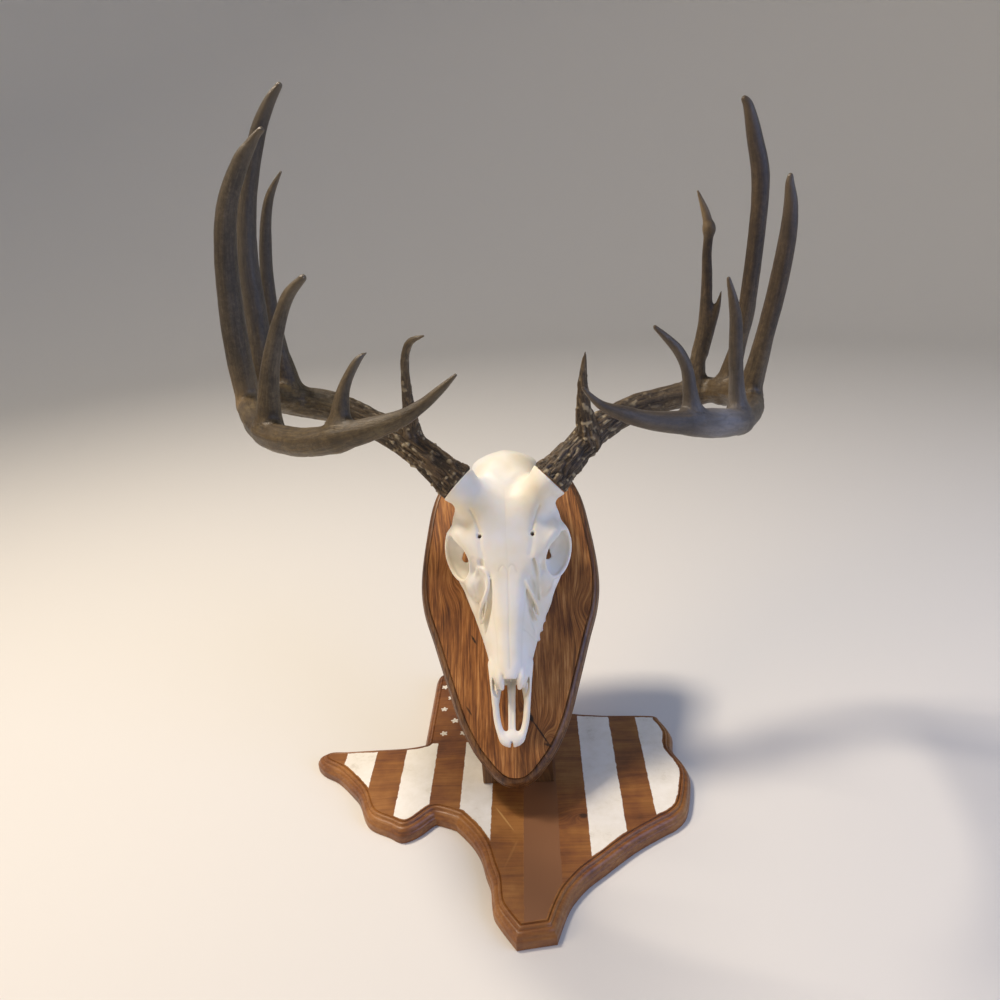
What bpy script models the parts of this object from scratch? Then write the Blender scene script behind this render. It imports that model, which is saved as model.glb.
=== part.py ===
# A deer skull mount: a white skull with two branching antlers lies on a shield-shaped plaque,
# which leans back on a short post, and the post stands on a board cut to the outline of Texas.
import math

import bmesh
import bpy
from mathutils import Matrix, Vector

# Driving sizes, in metres. Right, back and up are +X, +Y and +Z, and the origin is on the table
# below the middle of the post.
GAP = 0.0003                    # clearance left between neighbouring pieces

BASE_WIDTH = 0.360              # the painted flat, from its west tip to its east edge
BASE_THICKNESS = 0.018
BASE_MOULDING_WIDTH = 0.0096    # how far the routed edge stands out past the flat
BASE_MOULDING_DEPTH = 0.011
BASE_EDGE_EASE = 0.0006         # small chamfer around the underside

POST_WIDTH = 0.070
POST_DEPTH = 0.060
POST_EDGE_EASE = 0.0012

PLAQUE_LEAN = math.radians(45)  # angle between the plaque and the table
PLAQUE_LENGTH = 0.336
PLAQUE_WIDTH = 0.184
PLAQUE_THICKNESS = 0.018
PLAQUE_MOULDING_WIDTH = 0.0078
PLAQUE_MOULDING_DEPTH = 0.012
PLAQUE_LIFT = 0.040             # height of the plaque's lowest back edge above the table
PLAQUE_FRONT = 0.0627           # how far that edge stands in front of the post's middle

SKULL_LENGTH = 0.297            # from the nose to the back of the braincase
SKULL_START = 0.033             # from the plaque's bottom edge to the nose, along the plaque
SKULL_SIDE = 0.0015             # the skull sits this far right of the plaque's middle
SKULL_TRIANGLES = 3900
SKULL_GRAIN = 0.0021            # voxel size that melts the skull's pieces into one bone

ANTLER_LENGTH = 0.372           # from an antler's seat to its farthest tip
ANTLER_SIDES = 1                # bevel resolution of the beam and the tines
ANTLER_STEPS = 3                # straight pieces between two stations of a limb

# The map's corners east and north of the post, in parts of a flat that is 360 wide, from the
# west tip along the river and the coast, up the eastern edge and back round the panhandle.
MAP_WIDTH = 360
MAP = [
    (-198.0, 25.5), (-202.5, 22.5), (-199.5, 17.5), (-181.5, 5.3), (-160.7, -17.5),
    (-150.3, -32.1), (-141.2, -53.2), (-134.4, -61.5), (-118.9, -69.6), (-109.4, -74.9),
    (-101.0, -71.2), (-86.4, -56.6), (-75.4, -55.5), (-56.3, -63.6), (-50.2, -69.0),
    (-36.0, -87.0), (-25.8, -106.2), (-20.1, -126.5), (-14.8, -143.3), (-12.5, -165.0),
    (-8.2, -174.8), (2.6, -190.6), (23.3, -187.6), (27.4, -175.9), (31.6, -165.5),
    (38.4, -153.0), (52.4, -136.3), (68.0, -123.3), (99.0, -97.8), (128.0, -79.3),
    (139.4, -72.3), (149.8, -59.6), (159.2, -26.3), (158.8, -8.5), (150.5, 17.3),
    (153.4, 42.1), (147.1, 62.7), (142.3, 67.6), (97.5, 70.7), (81.5, 72.8), (64.1, 75.5),
    (40.0, 83.0), (18.0, 93.0), (-17.0, 103.0), (-17.0, 169.0), (-85.5, 169.0),
    (-92.0, 163.0), (-93.0, 38.0), (-98.5, 32.0), (-119.4, 27.5), (-150.3, 26.3),
    (-182.4, 25.2),
]
MITRE_LIMIT = 1.55              # longest reach of a moulded corner, in moulding widths

# Routed edges: share of the moulding's width going out, share of its depth going down.
BASE_PROFILE = [(0, 0), (0.07, 0.13), (0.2, 0.15), (0.42, 0.21), (0.6, 0.37), (0.67, 0.58),
                (0.78, 0.66), (0.88, 0.78), (1, 1)]
PLAQUE_PROFILE = [(0, 0), (0.1, 0.17), (0.3, 0.2), (0.62, 0.3), (0.86, 0.55), (0.9, 0.8), (1, 1)]

# The plaque's right half, as shares of half its width and of its length.
PLAQUE_HALF = [(0, 0), (0.29, 0.048), (0.44, 0.101), (0.584, 0.182), (0.72, 0.295), (0.852, 0.411),
               (0.965, 0.51), (1, 0.61), (0.95, 0.75), (0.845, 0.89), (0.62, 0.97), (0, 1)]
PLAQUE_STEPS = 2                # straight pieces between two of those points

# The braincase and snout as rings across a skull drawn 297 long: distance from the nose,
# height of the roof, half width of the roof, half width and height of the widest line, floor.
SKULL_DRAWN = 297
SKULL_RINGS = [
    (52, 43, 8, 17, 27, 13), (62, 46, 10, 18.5, 28, 12), (77, 50, 11, 21, 27, 10),
    (97, 56, 13, 27, 24, 8), (117, 62, 15, 33.5, 23, 7), (137, 68, 19, 40, 26, 8),
    (152, 73, 22, 44, 31, 10), (166, 77, 26, 42, 42, 15), (180, 82, 31, 36, 60, 20),
    (199, 87, 35, 36, 70, 24), (217, 89, 36, 40, 72, 24), (237, 88, 32, 38, 66, 18),
    (257, 84, 27, 39, 58, 10), (275, 75, 22, 37, 52, 6), (289, 58, 13, 28, 42, 8),
    (297, 42, 5, 14, 34, 16),
]
PEDICLE_SEAT = Vector((44, 235, 90))          # middle of the antler's seat, on the right side
PEDICLE_AXIS = Vector((0.72, 0.62, 0.31)).normalized()
PEDICLE_ROOT = Vector((12, 207, 64))
SEAT_RADIUS = 19.5
ORBIT_CENTRE = Vector((49, 175, 50))
ORBIT_BACK = Vector((8.5, 23.5, 4))           # from the centre to the rim's back corner
ORBIT_DOWN = Vector((10, 0, -18))             # from the centre to the rim's lowest point

# Both antlers, drawn with a reach of 372 from the seat: distance outward from the skull, up
# along the plaque, off the plaque, and the radius there.
ANTLER_DRAWN = 372
LEFT_BEAM = [(0, 0, 0, 17.2), (13, 11, 5, 15.8), (40, 35, 10, 14.5), (70, 57, 12, 14.2),
             (114, 80, 17, 14.8), (155, 89, 22, 15.3), (173, 67, 65, 13.4), (159, 21, 120, 11.3),
             (127, -27, 164, 11), (90, -54, 194, 10.9), (55, -64, 216, 10.1), (16, -64, 232, 6.7),
             (-3, -60, 242, 4.5), (-17, -54, 251, 3.2), (-28, -48, 258, 1.3)]
LEFT_TINES = [
    [(43, 47, 19, 10.6), (40, 61, 49, 6.1), (39, 75, 73, 4.3), (37, 86, 89, 4),
     (30, 93, 102, 3.5), (17, 94, 108, 0.9)],
    [(161, 97, 31, 12.8), (166, 132, 65, 8.2), (165, 169, 106, 6.5), (158, 198, 139, 5.4),
     (149, 216, 160, 4), (135, 229, 175, 1.3)],
    [(172, 73, 66, 13), (169, 121, 110, 9.9), (169, 159, 146, 8.8), (160, 194, 180, 7.7),
     (143, 227, 214, 6.5), (129, 244, 231, 5.1), (117, 254, 241, 2.9)],
    [(166, 34, 110, 11), (166, 65, 151, 9.9), (161, 107, 199, 8.3), (151, 134, 231, 7.3),
     (134, 155, 254, 5.8), (121, 165, 264, 3.7), (114, 169, 269, 2.6)],
    [(124, -25, 167, 10.5), (116, -2, 197, 7.3), (108, 15, 215, 6.3), (100, 28, 229, 5.1),
     (91, 38, 241, 4.6), (79, 45, 249, 2.8)],
    [(57, -62, 213, 9.3), (52, -43, 229, 5.4), (47, -33, 237, 3.8), (39, -22, 243, 2.7),
     (33, -17, 244, 0.7)],
]
RIGHT_BEAM = [(0, 0, 0, 17.2), (13, 11, 5, 15.8), (33, 32, 8, 14.4), (53, 49, 10, 13.9),
              (85, 67, 9, 13.1), (119, 76, 9, 12.6), (154, 80, 13, 12.6), (175, 54, 48, 12.3),
              (167, 9, 101, 10.7), (139, -35, 156, 10.4), (112, -51, 183, 10.9),
              (88, -60, 202, 8.8), (64, -64, 215, 6.5), (46, -63, 224, 5.5), (31, -60, 232, 3.2),
              (20, -53, 242, 1.3)]
RIGHT_TINES = [
    [(39, 34, 12, 12), (35, 51, 38, 7.5), (34, 64, 55, 5), (35, 75, 68, 3.6), (37, 85, 82, 0.9)],
    [(144, 78, 12, 11.4), (147, 103, 35, 7.2), (152, 124, 57, 6.1), (153, 149, 84, 5.3),
     (152, 169, 108, 5), (153, 181, 121, 6), (148, 193, 134, 4), (142, 203, 145, 1.3)],
    [(151, 107, 39, 4.8), (158, 121, 56, 3.8), (163, 132, 69, 2.8), (166, 143, 81, 0.9)],
    [(169, 69, 26, 12), (178, 95, 61, 7.6), (183, 117, 92, 7.8), (187, 161, 147, 7.4),
     (187, 187, 174, 7.7), (181, 208, 194, 6.6), (175, 224, 210, 4.5), (171, 228, 215, 2.8)],
    [(168, 19, 89, 10.5), (176, 48, 131, 7.7), (183, 73, 163, 7.5), (188, 98, 192, 6.9),
     (189, 115, 211, 5.6), (187, 126, 223, 3.5), (187, 130, 227, 2.2)],
    [(140, -34, 153, 8.9), (136, -17, 176, 5.8), (134, 0, 196, 5.2), (133, 14, 211, 4.6),
     (130, 23, 223, 3.5), (126, 33, 234, 1.7)],
    [(97, -57, 194, 10), (94, -41, 210, 5.3), (92, -29, 220, 4.4), (86, -21, 230, 3.8),
     (78, -15, 237, 2.8), (70, -10, 243, 1.6)],
]


def clear_scene():
    for old in list(bpy.data.objects):
        bpy.data.objects.remove(old, do_unlink=True)


def new_collection(name):
    collection = bpy.data.collections.new(name)
    bpy.context.scene.collection.children.link(collection)
    return collection


def new_material(name, colour, roughness):
    material = bpy.data.materials.new(name)
    material.use_nodes = True
    shader = material.node_tree.nodes["Principled BSDF"]
    shader.inputs["Base Color"].default_value = (*colour, 1)
    shader.inputs["Roughness"].default_value = roughness
    shader.inputs["Metallic"].default_value = 0
    return material


def new_object(name, mesh, collection, material=None):
    piece = bpy.data.objects.new(name, mesh)
    collection.objects.link(piece)
    if material:
        mesh.materials.clear()
        mesh.materials.append(material)
    return piece


def finished_mesh(piece):
    """The mesh that an object's modifiers or its curve bevel make."""
    graph = bpy.context.evaluated_depsgraph_get()
    return bpy.data.meshes.new_from_object(piece.evaluated_get(graph))


def bake(piece):
    """Keep what the modifiers make as the object's own mesh."""
    piece.data = finished_mesh(piece)
    piece.modifiers.clear()


def remove(piece):
    bpy.data.objects.remove(piece, do_unlink=True)


def loft(rings, closed=False):
    """Skin a row of rings with the same number of corners, with end faces unless it is closed."""
    mesh = bpy.data.meshes.new("loft")
    work = bmesh.new()
    rows = [[work.verts.new(corner) for corner in ring] for ring in rings]
    pairs = list(zip(rows, rows[1:] + rows[:1])) if closed else list(zip(rows, rows[1:]))
    for low, high in pairs:
        for a, b, c, d in zip(low, low[1:] + low[:1], high[1:] + high[:1], high):
            work.faces.new((a, b, c, d))
    if not closed:
        work.faces.new(list(reversed(rows[0])))
        work.faces.new(rows[-1])
    bmesh.ops.recalc_face_normals(work, faces=work.faces)
    work.to_mesh(mesh)
    work.free()
    return mesh


def outset(loop, distance):
    """Move every corner of a closed outline outward along its mitre."""
    moved = []
    for before, corner, after in zip(loop[-1:] + loop[:-1], loop, loop[1:] + loop[:1]):
        first = (corner - before).normalized()
        second = (after - corner).normalized()
        side_a = Vector((first.y, -first.x))
        side_b = Vector((second.y, -second.x))
        mitre = (side_a + side_b) / max(1 + side_a.dot(side_b), 0.01)
        if mitre.length > MITRE_LIMIT:
            mitre = mitre.normalized() * MITRE_LIMIT
        moved.append(corner + mitre * distance)
    return moved


def smooth_loop(points, steps):
    """A rounded closed outline through the points, each stretch cut into equal steps."""
    outline = []
    count = len(points)
    for index in range(count):
        a, b, c, d = (points[(index + shift) % count] for shift in (-1, 0, 1, 2))
        for step in range(steps):
            t = step / steps
            outline.append(0.5 * (2 * b + (c - a) * t + (2 * a - 5 * b + 4 * c - d) * t * t
                                  + (3 * b - 3 * c + d - a) * t ** 3))
    return outline


def routed_board(flat, thickness, profile, width, depth, ease):
    """A board whose edge steps out from the flat along a routed profile, then drops straight."""
    rings = []
    for out, down in profile:
        rings.append([(p.x, p.y, thickness - depth * down) for p in outset(flat, width * out)])
    side = outset(flat, width)
    rings.append([(p.x, p.y, ease) for p in side])
    rings.append([(p.x, p.y, 0) for p in outset(flat, width - ease)])
    return loft(list(reversed(rings)))


def build_base(collection):
    unit = BASE_WIDTH / MAP_WIDTH
    flat = [Vector(point) * unit for point in MAP]
    mesh = routed_board(flat, BASE_THICKNESS, BASE_PROFILE, BASE_MOULDING_WIDTH,
                        BASE_MOULDING_DEPTH, BASE_EDGE_EASE)
    return new_object("base", mesh, collection, new_material("stained wood", (0.17, 0.08, 0.035), 0.4))


def build_post(collection):
    """A square post whose top is cut along the back of the leaning plaque."""
    bottom = BASE_THICKNESS + GAP
    slope = math.tan(PLAQUE_LEAN)
    lowest_back = PLAQUE_LIFT - GAP / math.cos(PLAQUE_LEAN)
    bpy.ops.mesh.primitive_cube_add(size=1)
    post = bpy.context.object
    post.name = "post"
    for corner in post.data.vertices:
        x = math.copysign(POST_WIDTH / 2, corner.co.x)
        y = math.copysign(POST_DEPTH / 2, corner.co.y)
        top = lowest_back + (y + PLAQUE_FRONT) * slope
        corner.co = (x, y, top - bottom if corner.co.z > 0 else 0)
    for owner in list(post.users_collection):
        owner.objects.unlink(post)
    collection.objects.link(post)
    post.location.z = bottom
    post.data.materials.append(new_material("post wood", (0.13, 0.06, 0.028), 0.45))
    ease = post.modifiers.new("eased edges", "BEVEL")
    ease.width = POST_EDGE_EASE
    ease.segments = 1
    bake(post)
    return post


def build_plaque(collection):
    """The shield-shaped board, flat in its own frame, with its back at height 0."""
    half = [Vector((x * PLAQUE_WIDTH / 2, y * PLAQUE_LENGTH)) for x, y in PLAQUE_HALF]
    mirrored = [Vector((-p.x, p.y)) for p in reversed(half[1:-1])]
    rim = smooth_loop(half + mirrored, PLAQUE_STEPS)
    flat = outset(rim, -PLAQUE_MOULDING_WIDTH)
    mesh = routed_board(flat, PLAQUE_THICKNESS, PLAQUE_PROFILE, PLAQUE_MOULDING_WIDTH,
                        PLAQUE_MOULDING_DEPTH, BASE_EDGE_EASE)
    return new_object("plaque", mesh, collection, new_material("plaque wood", (0.2, 0.09, 0.035), 0.3))


def tube(stations, collection, sides, steps):
    """A closed round limb through the stations (x, y, z, radius), as an object."""
    curve = bpy.data.curves.new("limb", "CURVE")
    curve.dimensions = "3D"
    curve.bevel_depth = 1
    curve.bevel_resolution = sides
    curve.resolution_u = steps
    curve.use_fill_caps = True
    spline = curve.splines.new("BEZIER")
    spline.bezier_points.add(len(stations) - 1)
    for point, (x, y, z, radius) in zip(spline.bezier_points, stations):
        point.co = (x, y, z)
        point.radius = radius
        point.handle_left_type = "AUTO"
        point.handle_right_type = "AUTO"
    limb = new_object("limb", curve, collection)
    mesh = finished_mesh(limb)
    remove(limb)
    work = bmesh.new()
    work.from_mesh(mesh)
    bmesh.ops.remove_doubles(work, verts=work.verts, dist=0.00001)
    bmesh.ops.recalc_face_normals(work, faces=work.faces)
    work.to_mesh(mesh)
    work.free()
    return new_object("limb", mesh, collection)


def ball(centre, radii, collection):
    """A closed ellipsoid."""
    mesh = bpy.data.meshes.new("ball")
    work = bmesh.new()
    bmesh.ops.create_uvsphere(work, u_segments=16, v_segments=10, radius=1)
    bmesh.ops.scale(work, vec=radii, verts=work.verts)
    bmesh.ops.translate(work, vec=centre, verts=work.verts)
    work.to_mesh(mesh)
    work.free()
    return new_object("ball", mesh, collection)


def turned_onto(axis, centre):
    """A placement whose own +Z points along the axis."""
    return Matrix.Translation(centre) @ Vector((0, 0, 1)).rotation_difference(axis).to_matrix().to_4x4()


def peg(start, end, radius_start, radius_end, collection, segments=20):
    """A round peg or cone from one point to another."""
    mesh = bpy.data.meshes.new("peg")
    work = bmesh.new()
    axis = end - start
    bmesh.ops.create_cone(work, cap_ends=True, segments=segments, radius1=radius_start,
                          radius2=radius_end, depth=axis.length)
    bmesh.ops.transform(work, matrix=turned_onto(axis, (start + end) / 2), verts=work.verts)
    work.to_mesh(mesh)
    work.free()
    return new_object("peg", mesh, collection)


def join(pieces, name, collection):
    """One object holding the meshes of all the pieces, which are removed."""
    work = bmesh.new()
    for piece in pieces:
        work.from_mesh(piece.data)
        remove(piece)
    mesh = bpy.data.meshes.new(name)
    work.to_mesh(mesh)
    work.free()
    return new_object(name, mesh, collection)


def both_sides(piece):
    """Add the mirror image of a right-hand piece."""
    mirror = piece.modifiers.new("both sides", "MIRROR")
    mirror.use_mirror_merge = False
    bake(piece)
    return piece


def melt(piece, grain, softening):
    """Melt overlapping pieces into one closed skin and soften it."""
    skin = piece.modifiers.new("one skin", "REMESH")
    skin.mode = "VOXEL"
    skin.voxel_size = grain
    soft = piece.modifiers.new("soften", "SMOOTH")
    soft.factor = 0.5
    soft.iterations = softening
    bake(piece)


def cut(piece, cutter):
    """Take the cutter's space out of the piece."""
    take = piece.modifiers.new("cut", "BOOLEAN")
    take.operation = "DIFFERENCE"
    take.solver = "EXACT"
    take.object = cutter
    bake(piece)


def cranium_ring(y, roof, roof_half, side_half, side_height, floor):
    """One ring across the skull: flat roof, sloping side, widest line, narrow floor."""
    shoulder = roof - 0.1 * (roof - side_height)
    half = [(0, roof), (0.55 * roof_half, roof - 0.4), (roof_half, shoulder),
            (0.5 * (roof_half + side_half) + 1, 0.5 * (shoulder + side_height)),
            (side_half, side_height), (0.93 * side_half, 0.5 * (side_height + floor)),
            (0.66 * side_half, floor + 1.5), (0, floor)]
    other = [(-x, z) for x, z in reversed(half[1:-1])]
    return [(x, y, z) for x, z in half + other]


def build_cranium(collection):
    core = new_object("cranium", loft([cranium_ring(*ring) for ring in SKULL_RINGS]), collection)
    soft = core.modifiers.new("soft", "SUBSURF")
    soft.levels = 2
    soft.render_levels = 2
    bake(core)
    return core


def build_eye_socket(collection):
    """The funnel of bone round the right eye, open at the rim and at the bottom."""
    normal = ORBIT_DOWN.cross(ORBIT_BACK).normalized()
    rings = []
    for size, depth in ((1, 0), (0.84, 1), (0.46, -19), (0.66, -20)):
        ring = []
        for step in range(24):
            angle = math.tau * step / 24
            rim = ORBIT_BACK * math.cos(angle) * size + ORBIT_DOWN * math.sin(angle) * size
            ring.append(ORBIT_CENTRE + rim + normal * depth)
        rings.append(ring)
    return new_object("eye socket", loft(rings, closed=True), collection)


def build_pedicle(collection):
    """The stalk under the right antler: wide where it leaves the brow, waisted, flared at the seat."""
    end = PEDICLE_SEAT + PEDICLE_AXIS * 6
    stalk = PEDICLE_SEAT - PEDICLE_ROOT
    stations = [(PEDICLE_ROOT, 21), (PEDICLE_ROOT + stalk * 0.33, 19), (PEDICLE_ROOT + stalk * 0.66, 17),
                (PEDICLE_SEAT - PEDICLE_AXIS * 3, SEAT_RADIUS - 1), (end, SEAT_RADIUS + 2)]
    return tube([(*middle, radius) for middle, radius in stations], collection, 3, 4)


def build_cheek(collection):
    """The right side's arches, brow, teeth, snout wall and pedicle."""
    arch = tube([(35, 140, 24, 7), (45, 155, 27, 6.5), (54, 170, 31, 5), (56, 186, 34, 4),
                 (51, 206, 37, 4), (45, 224, 42, 4.5), (38, 242, 44, 6)], collection, 2, 4)
    brow = tube([(27, 162, 69, 6), (38, 180, 68, 6), (50, 194, 61, 5), (56, 198, 55, 3.5)],
                collection, 2, 4)
    behind_eye = tube([(33, 212, 80, 8), (44, 205, 69, 6), (55, 200, 57, 4)], collection, 2, 4)
    roof = ball(Vector((40, 196, 69)), (13, 14, 6), collection)
    tear_bone = ball(Vector((36, 152, 43)), (8, 12, 12), collection)
    teeth = tube([(20, 86, 6.5, 4.5), (25, 97, 7, 6), (29, 112, 7.5, 7), (33, 130, 8, 7.5),
                  (36, 146, 9, 7)], collection, 2, 4)
    snout_wall = tube([(15, 66, 30, 7), (15.2, 52, 28, 6.2), (15, 38, 25, 5), (13.2, 20, 22, 4.5),
                       (8, 7, 21, 4.5), (0, 4, 21, 4.5)], collection, 2, 5)
    snout_floor = tube([(13, 66, 16, 5.5), (14, 52, 17, 4.7), (14, 36, 20, 4)], collection, 2, 4)
    palate_bar = tube([(2.6, 3, 21, 2.8), (2.6, 25, 20, 2.6), (2.8, 45, 18, 2.8), (3, 62, 17, 3)],
                      collection, 2, 4)
    pedicle = build_pedicle(collection)
    pieces = [arch, brow, behind_eye, roof, tear_bone, teeth, snout_wall, snout_floor, palate_bar,
              pedicle, build_eye_socket(collection)]
    for index in range(6):
        share = index / 5
        centre = Vector((26 + 13 * share, 94 + 54 * share, 7))
        pieces.append(ball(centre, (5, 4.6, 6.5), collection))
    return both_sides(join(pieces, "cheeks", collection))


def build_hollows(collection):
    """What is scooped out of the bone: the nose, and the long pits in front of the eyes."""
    nose = peg(Vector((0, 40, 33)), Vector((0, 78, 32)), 12, 8, collection)
    pit = tube([(35, 168, 62, 3), (34, 155, 57, 5), (31, 135, 50, 4.5), (27, 112, 42, 2)],
               collection, 2, 4)
    pits = both_sides(join([pit], "pits", collection))
    return [nose, pits]


def build_skull(collection, cutters):
    """One bone, drawn in parts of its length: nose at y 0, plaque face at z 0."""
    nose_tip = ball(Vector((0, 6, 21)), (13, 6.5, 5), collection)
    skull = join([build_cranium(collection), build_cheek(collection), nose_tip], "skull", collection)
    unit = SKULL_LENGTH / SKULL_DRAWN
    grain = SKULL_GRAIN / unit
    melt(skull, grain, 2)
    for hollow in build_hollows(cutters):
        cut(skull, hollow)
    melt(skull, grain, 3)
    thin = skull.modifiers.new("fewer faces", "DECIMATE")
    thin.ratio = SKULL_TRIANGLES / (2 * len(skull.data.polygons))
    bake(skull)
    seat = peg(PEDICLE_SEAT, PEDICLE_SEAT + PEDICLE_AXIS * 20, 32, 32, cutters)
    cut(skull, both_sides(join([seat], "seat cutters", cutters)))
    foramen = peg(Vector((25, 183, 60)), Vector((25, 183, 100)), 1.7, 1.7, cutters, 10)
    cut(skull, both_sides(join([foramen], "foramen drills", cutters)))
    lowest = min(corner.co.z for corner in skull.data.vertices)
    for corner in skull.data.vertices:
        corner.co.z -= lowest
        corner.co *= unit
    skull.data.materials.clear()
    skull.data.materials.append(new_material("white bone", (0.82, 0.8, 0.72), 0.35))
    return skull


def build_antler(name, beam, tines, side, collection, material):
    """One antler from its seat, drawn outward and then turned to its side."""
    unit = ANTLER_LENGTH / ANTLER_DRAWN
    limbs = []
    for stations in [beam, *tines]:
        placed = [(side * x * unit, y * unit, z * unit, r * unit) for x, y, z, r in stations]
        limbs.append(tube(placed, collection, ANTLER_SIDES, ANTLER_STEPS))
    antler = limbs[0]
    antler.name = name
    for limb in limbs[1:]:
        union = antler.modifiers.new("grown together", "BOOLEAN")
        union.operation = "UNION"
        union.solver = "EXACT"
        union.object = limb
        bake(antler)
        remove(limb)
    antler.data.materials.clear()
    antler.data.materials.append(material)
    return antler


def place(piece, parent, location):
    piece.parent = parent
    piece.location = location


def main():
    clear_scene()
    mount = new_collection("deer_skull_mount")
    cutters = new_collection("cutters")
    build_base(mount)
    build_post(mount)
    frame = bpy.data.objects.new("plaque_frame", None)
    mount.objects.link(frame)
    frame.location = (0, -PLAQUE_FRONT, PLAQUE_LIFT)
    frame.rotation_euler = (PLAQUE_LEAN, 0, 0)
    place(build_plaque(mount), frame, (0, 0, 0))
    face = PLAQUE_THICKNESS + GAP
    skull = build_skull(mount, cutters)
    place(skull, frame, (SKULL_SIDE, SKULL_START, face))
    skull_unit = SKULL_LENGTH / SKULL_DRAWN
    horn = new_material("antler", (0.09, 0.06, 0.04), 0.6)
    for name, beam, tines, side in (("antler_left", LEFT_BEAM, LEFT_TINES, -1),
                                    ("antler_right", RIGHT_BEAM, RIGHT_TINES, 1)):
        out = Vector((side, 1, 1))
        seat = PEDICLE_SEAT * out * skull_unit + PEDICLE_AXIS * out * GAP
        antler = build_antler(name, beam, tines, side, mount, horn)
        place(antler, frame, seat + Vector((SKULL_SIDE, SKULL_START, face)))
    cutters.hide_render = True
    for cutter in cutters.objects:
        cutter.hide_render = True
        cutter.display_type = "WIRE"


main()
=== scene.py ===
import math

import bpy
import numpy as np
from mathutils import Matrix, Vector


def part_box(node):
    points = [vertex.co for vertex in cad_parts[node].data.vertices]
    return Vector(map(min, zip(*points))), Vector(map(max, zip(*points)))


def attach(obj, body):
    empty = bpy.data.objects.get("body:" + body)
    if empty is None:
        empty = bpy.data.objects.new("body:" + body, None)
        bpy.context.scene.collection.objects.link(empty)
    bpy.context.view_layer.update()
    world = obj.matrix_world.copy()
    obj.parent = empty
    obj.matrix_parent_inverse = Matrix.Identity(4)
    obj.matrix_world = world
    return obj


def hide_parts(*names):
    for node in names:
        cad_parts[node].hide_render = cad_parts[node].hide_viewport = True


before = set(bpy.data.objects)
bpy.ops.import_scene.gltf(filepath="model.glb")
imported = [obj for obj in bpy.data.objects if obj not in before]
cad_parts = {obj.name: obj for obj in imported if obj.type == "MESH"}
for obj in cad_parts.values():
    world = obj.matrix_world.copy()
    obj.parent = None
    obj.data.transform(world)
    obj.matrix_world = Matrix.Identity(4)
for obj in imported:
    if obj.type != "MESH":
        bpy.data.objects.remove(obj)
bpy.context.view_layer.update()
bpy.ops.object.select_all(action="DESELECT")


# The base board: one piece of pine sawn to the outline of Texas, its edge routed with a quirk,
# a bead and a cove, stained brown, then painted with white stripes and one brown stripe.
# It lies on the table, and the post stands on it, fastened from below and out of sight.
MM = 0.001
BOARD_THICKNESS = 18
BOARD_MOULDING = 9.6
UNDER_EASE = 0.6                # how much the lower edge of both boards is eased
PAINT_MARGIN = 3.0              # width of the ring that carries the ragged end of the paint
MAP = [
    (-198.0, 25.5), (-202.5, 22.5), (-199.5, 17.5), (-181.5, 5.3), (-160.7, -17.5),
    (-150.3, -32.1), (-141.2, -53.2), (-134.4, -61.5), (-118.9, -69.6), (-109.4, -74.9),
    (-101.0, -71.2), (-86.4, -56.6), (-75.4, -55.5), (-56.3, -63.6), (-50.2, -69.0),
    (-36.0, -87.0), (-25.8, -106.2), (-20.1, -126.5), (-14.8, -143.3), (-12.5, -165.0),
    (-8.2, -174.8), (2.6, -190.6), (23.3, -187.6), (27.4, -175.9), (31.6, -165.5),
    (38.4, -153.0), (52.4, -136.3), (68.0, -123.3), (99.0, -97.8), (128.0, -79.3),
    (139.4, -72.3), (149.8, -59.6), (159.2, -26.3), (158.8, -8.5), (150.5, 17.3),
    (153.4, 42.1), (147.1, 62.7), (142.3, 67.6), (97.5, 70.7), (81.5, 72.8), (64.1, 75.5),
    (40.0, 83.0), (18.0, 93.0), (-17.0, 103.0), (-17.0, 168.8), (-82.0, 168.8), (-87.2, 168.0),
    (-90.8, 165.4), (-92.2, 160.5), (-93.0, 38.0), (-98.5, 32.0), (-119.4, 27.5), (-150.3, 26.3),
    (-182.4, 25.2),
]
MAP_CORNERS = {21, 22, 43, 44, 45, 48, 49}      # the corners of the map that stay crisp
# The routed edge in millimetres out and down from the flat.
BOARD_EDGE = [(0, 0), (0.2, 1.2), (0.55, 1.6), (1.0, 1.15), (1.6, 0.8), (2.4, 0.85), (3.1, 1.4),
              (3.5, 2.3), (3.65, 3.2), (4.0, 3.5), (4.6, 3.4), (5.4, 3.55), (6.4, 4.2), (7.4, 5.4),
              (8.1, 6.9), (8.3, 8.0), (8.7, 8.6), (9.3, 9.4), (9.6, 10.6), (9.6, 11.4)]


def outset(loop, distance, limit=1.55):
    """Every corner of a closed outline moved outward along its mitre."""
    moved = []
    for before, corner, after in zip(loop[-1:] + loop[:-1], loop, loop[1:] + loop[:1]):
        first, second = (corner - before).normalized(), (after - corner).normalized()
        side_a, side_b = Vector((first.y, -first.x)), Vector((second.y, -second.x))
        mitre = (side_a + side_b) / max(1 + side_a.dot(side_b), 0.01)
        if mitre.length > limit:
            mitre = mitre.normalized() * limit
        moved.append(corner + mitre * distance)
    return moved


def between(a, b, c, d, t):
    """The place a share t of the way from b to c, on a smooth curve through all four."""
    return 0.5 * (2 * b + (c - a) * t + (2 * a - 5 * b + 4 * c - d) * t * t
                  + (3 * b - 3 * c + d - a) * t ** 3)


def flowing(loop, steps, crisp=()):
    """A curve through the corners of a closed outline, broken at the crisp ones."""
    line, count = [], len(loop)
    for index in range(count):
        a, b, c, d = (loop[(index + shift) % count] for shift in (-1, 0, 1, 2))
        if index in crisp:
            a = b
        if (index + 1) % count in crisp:
            d = c
        line += [between(a, b, c, d, step / steps) for step in range(steps)]
    return line


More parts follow.
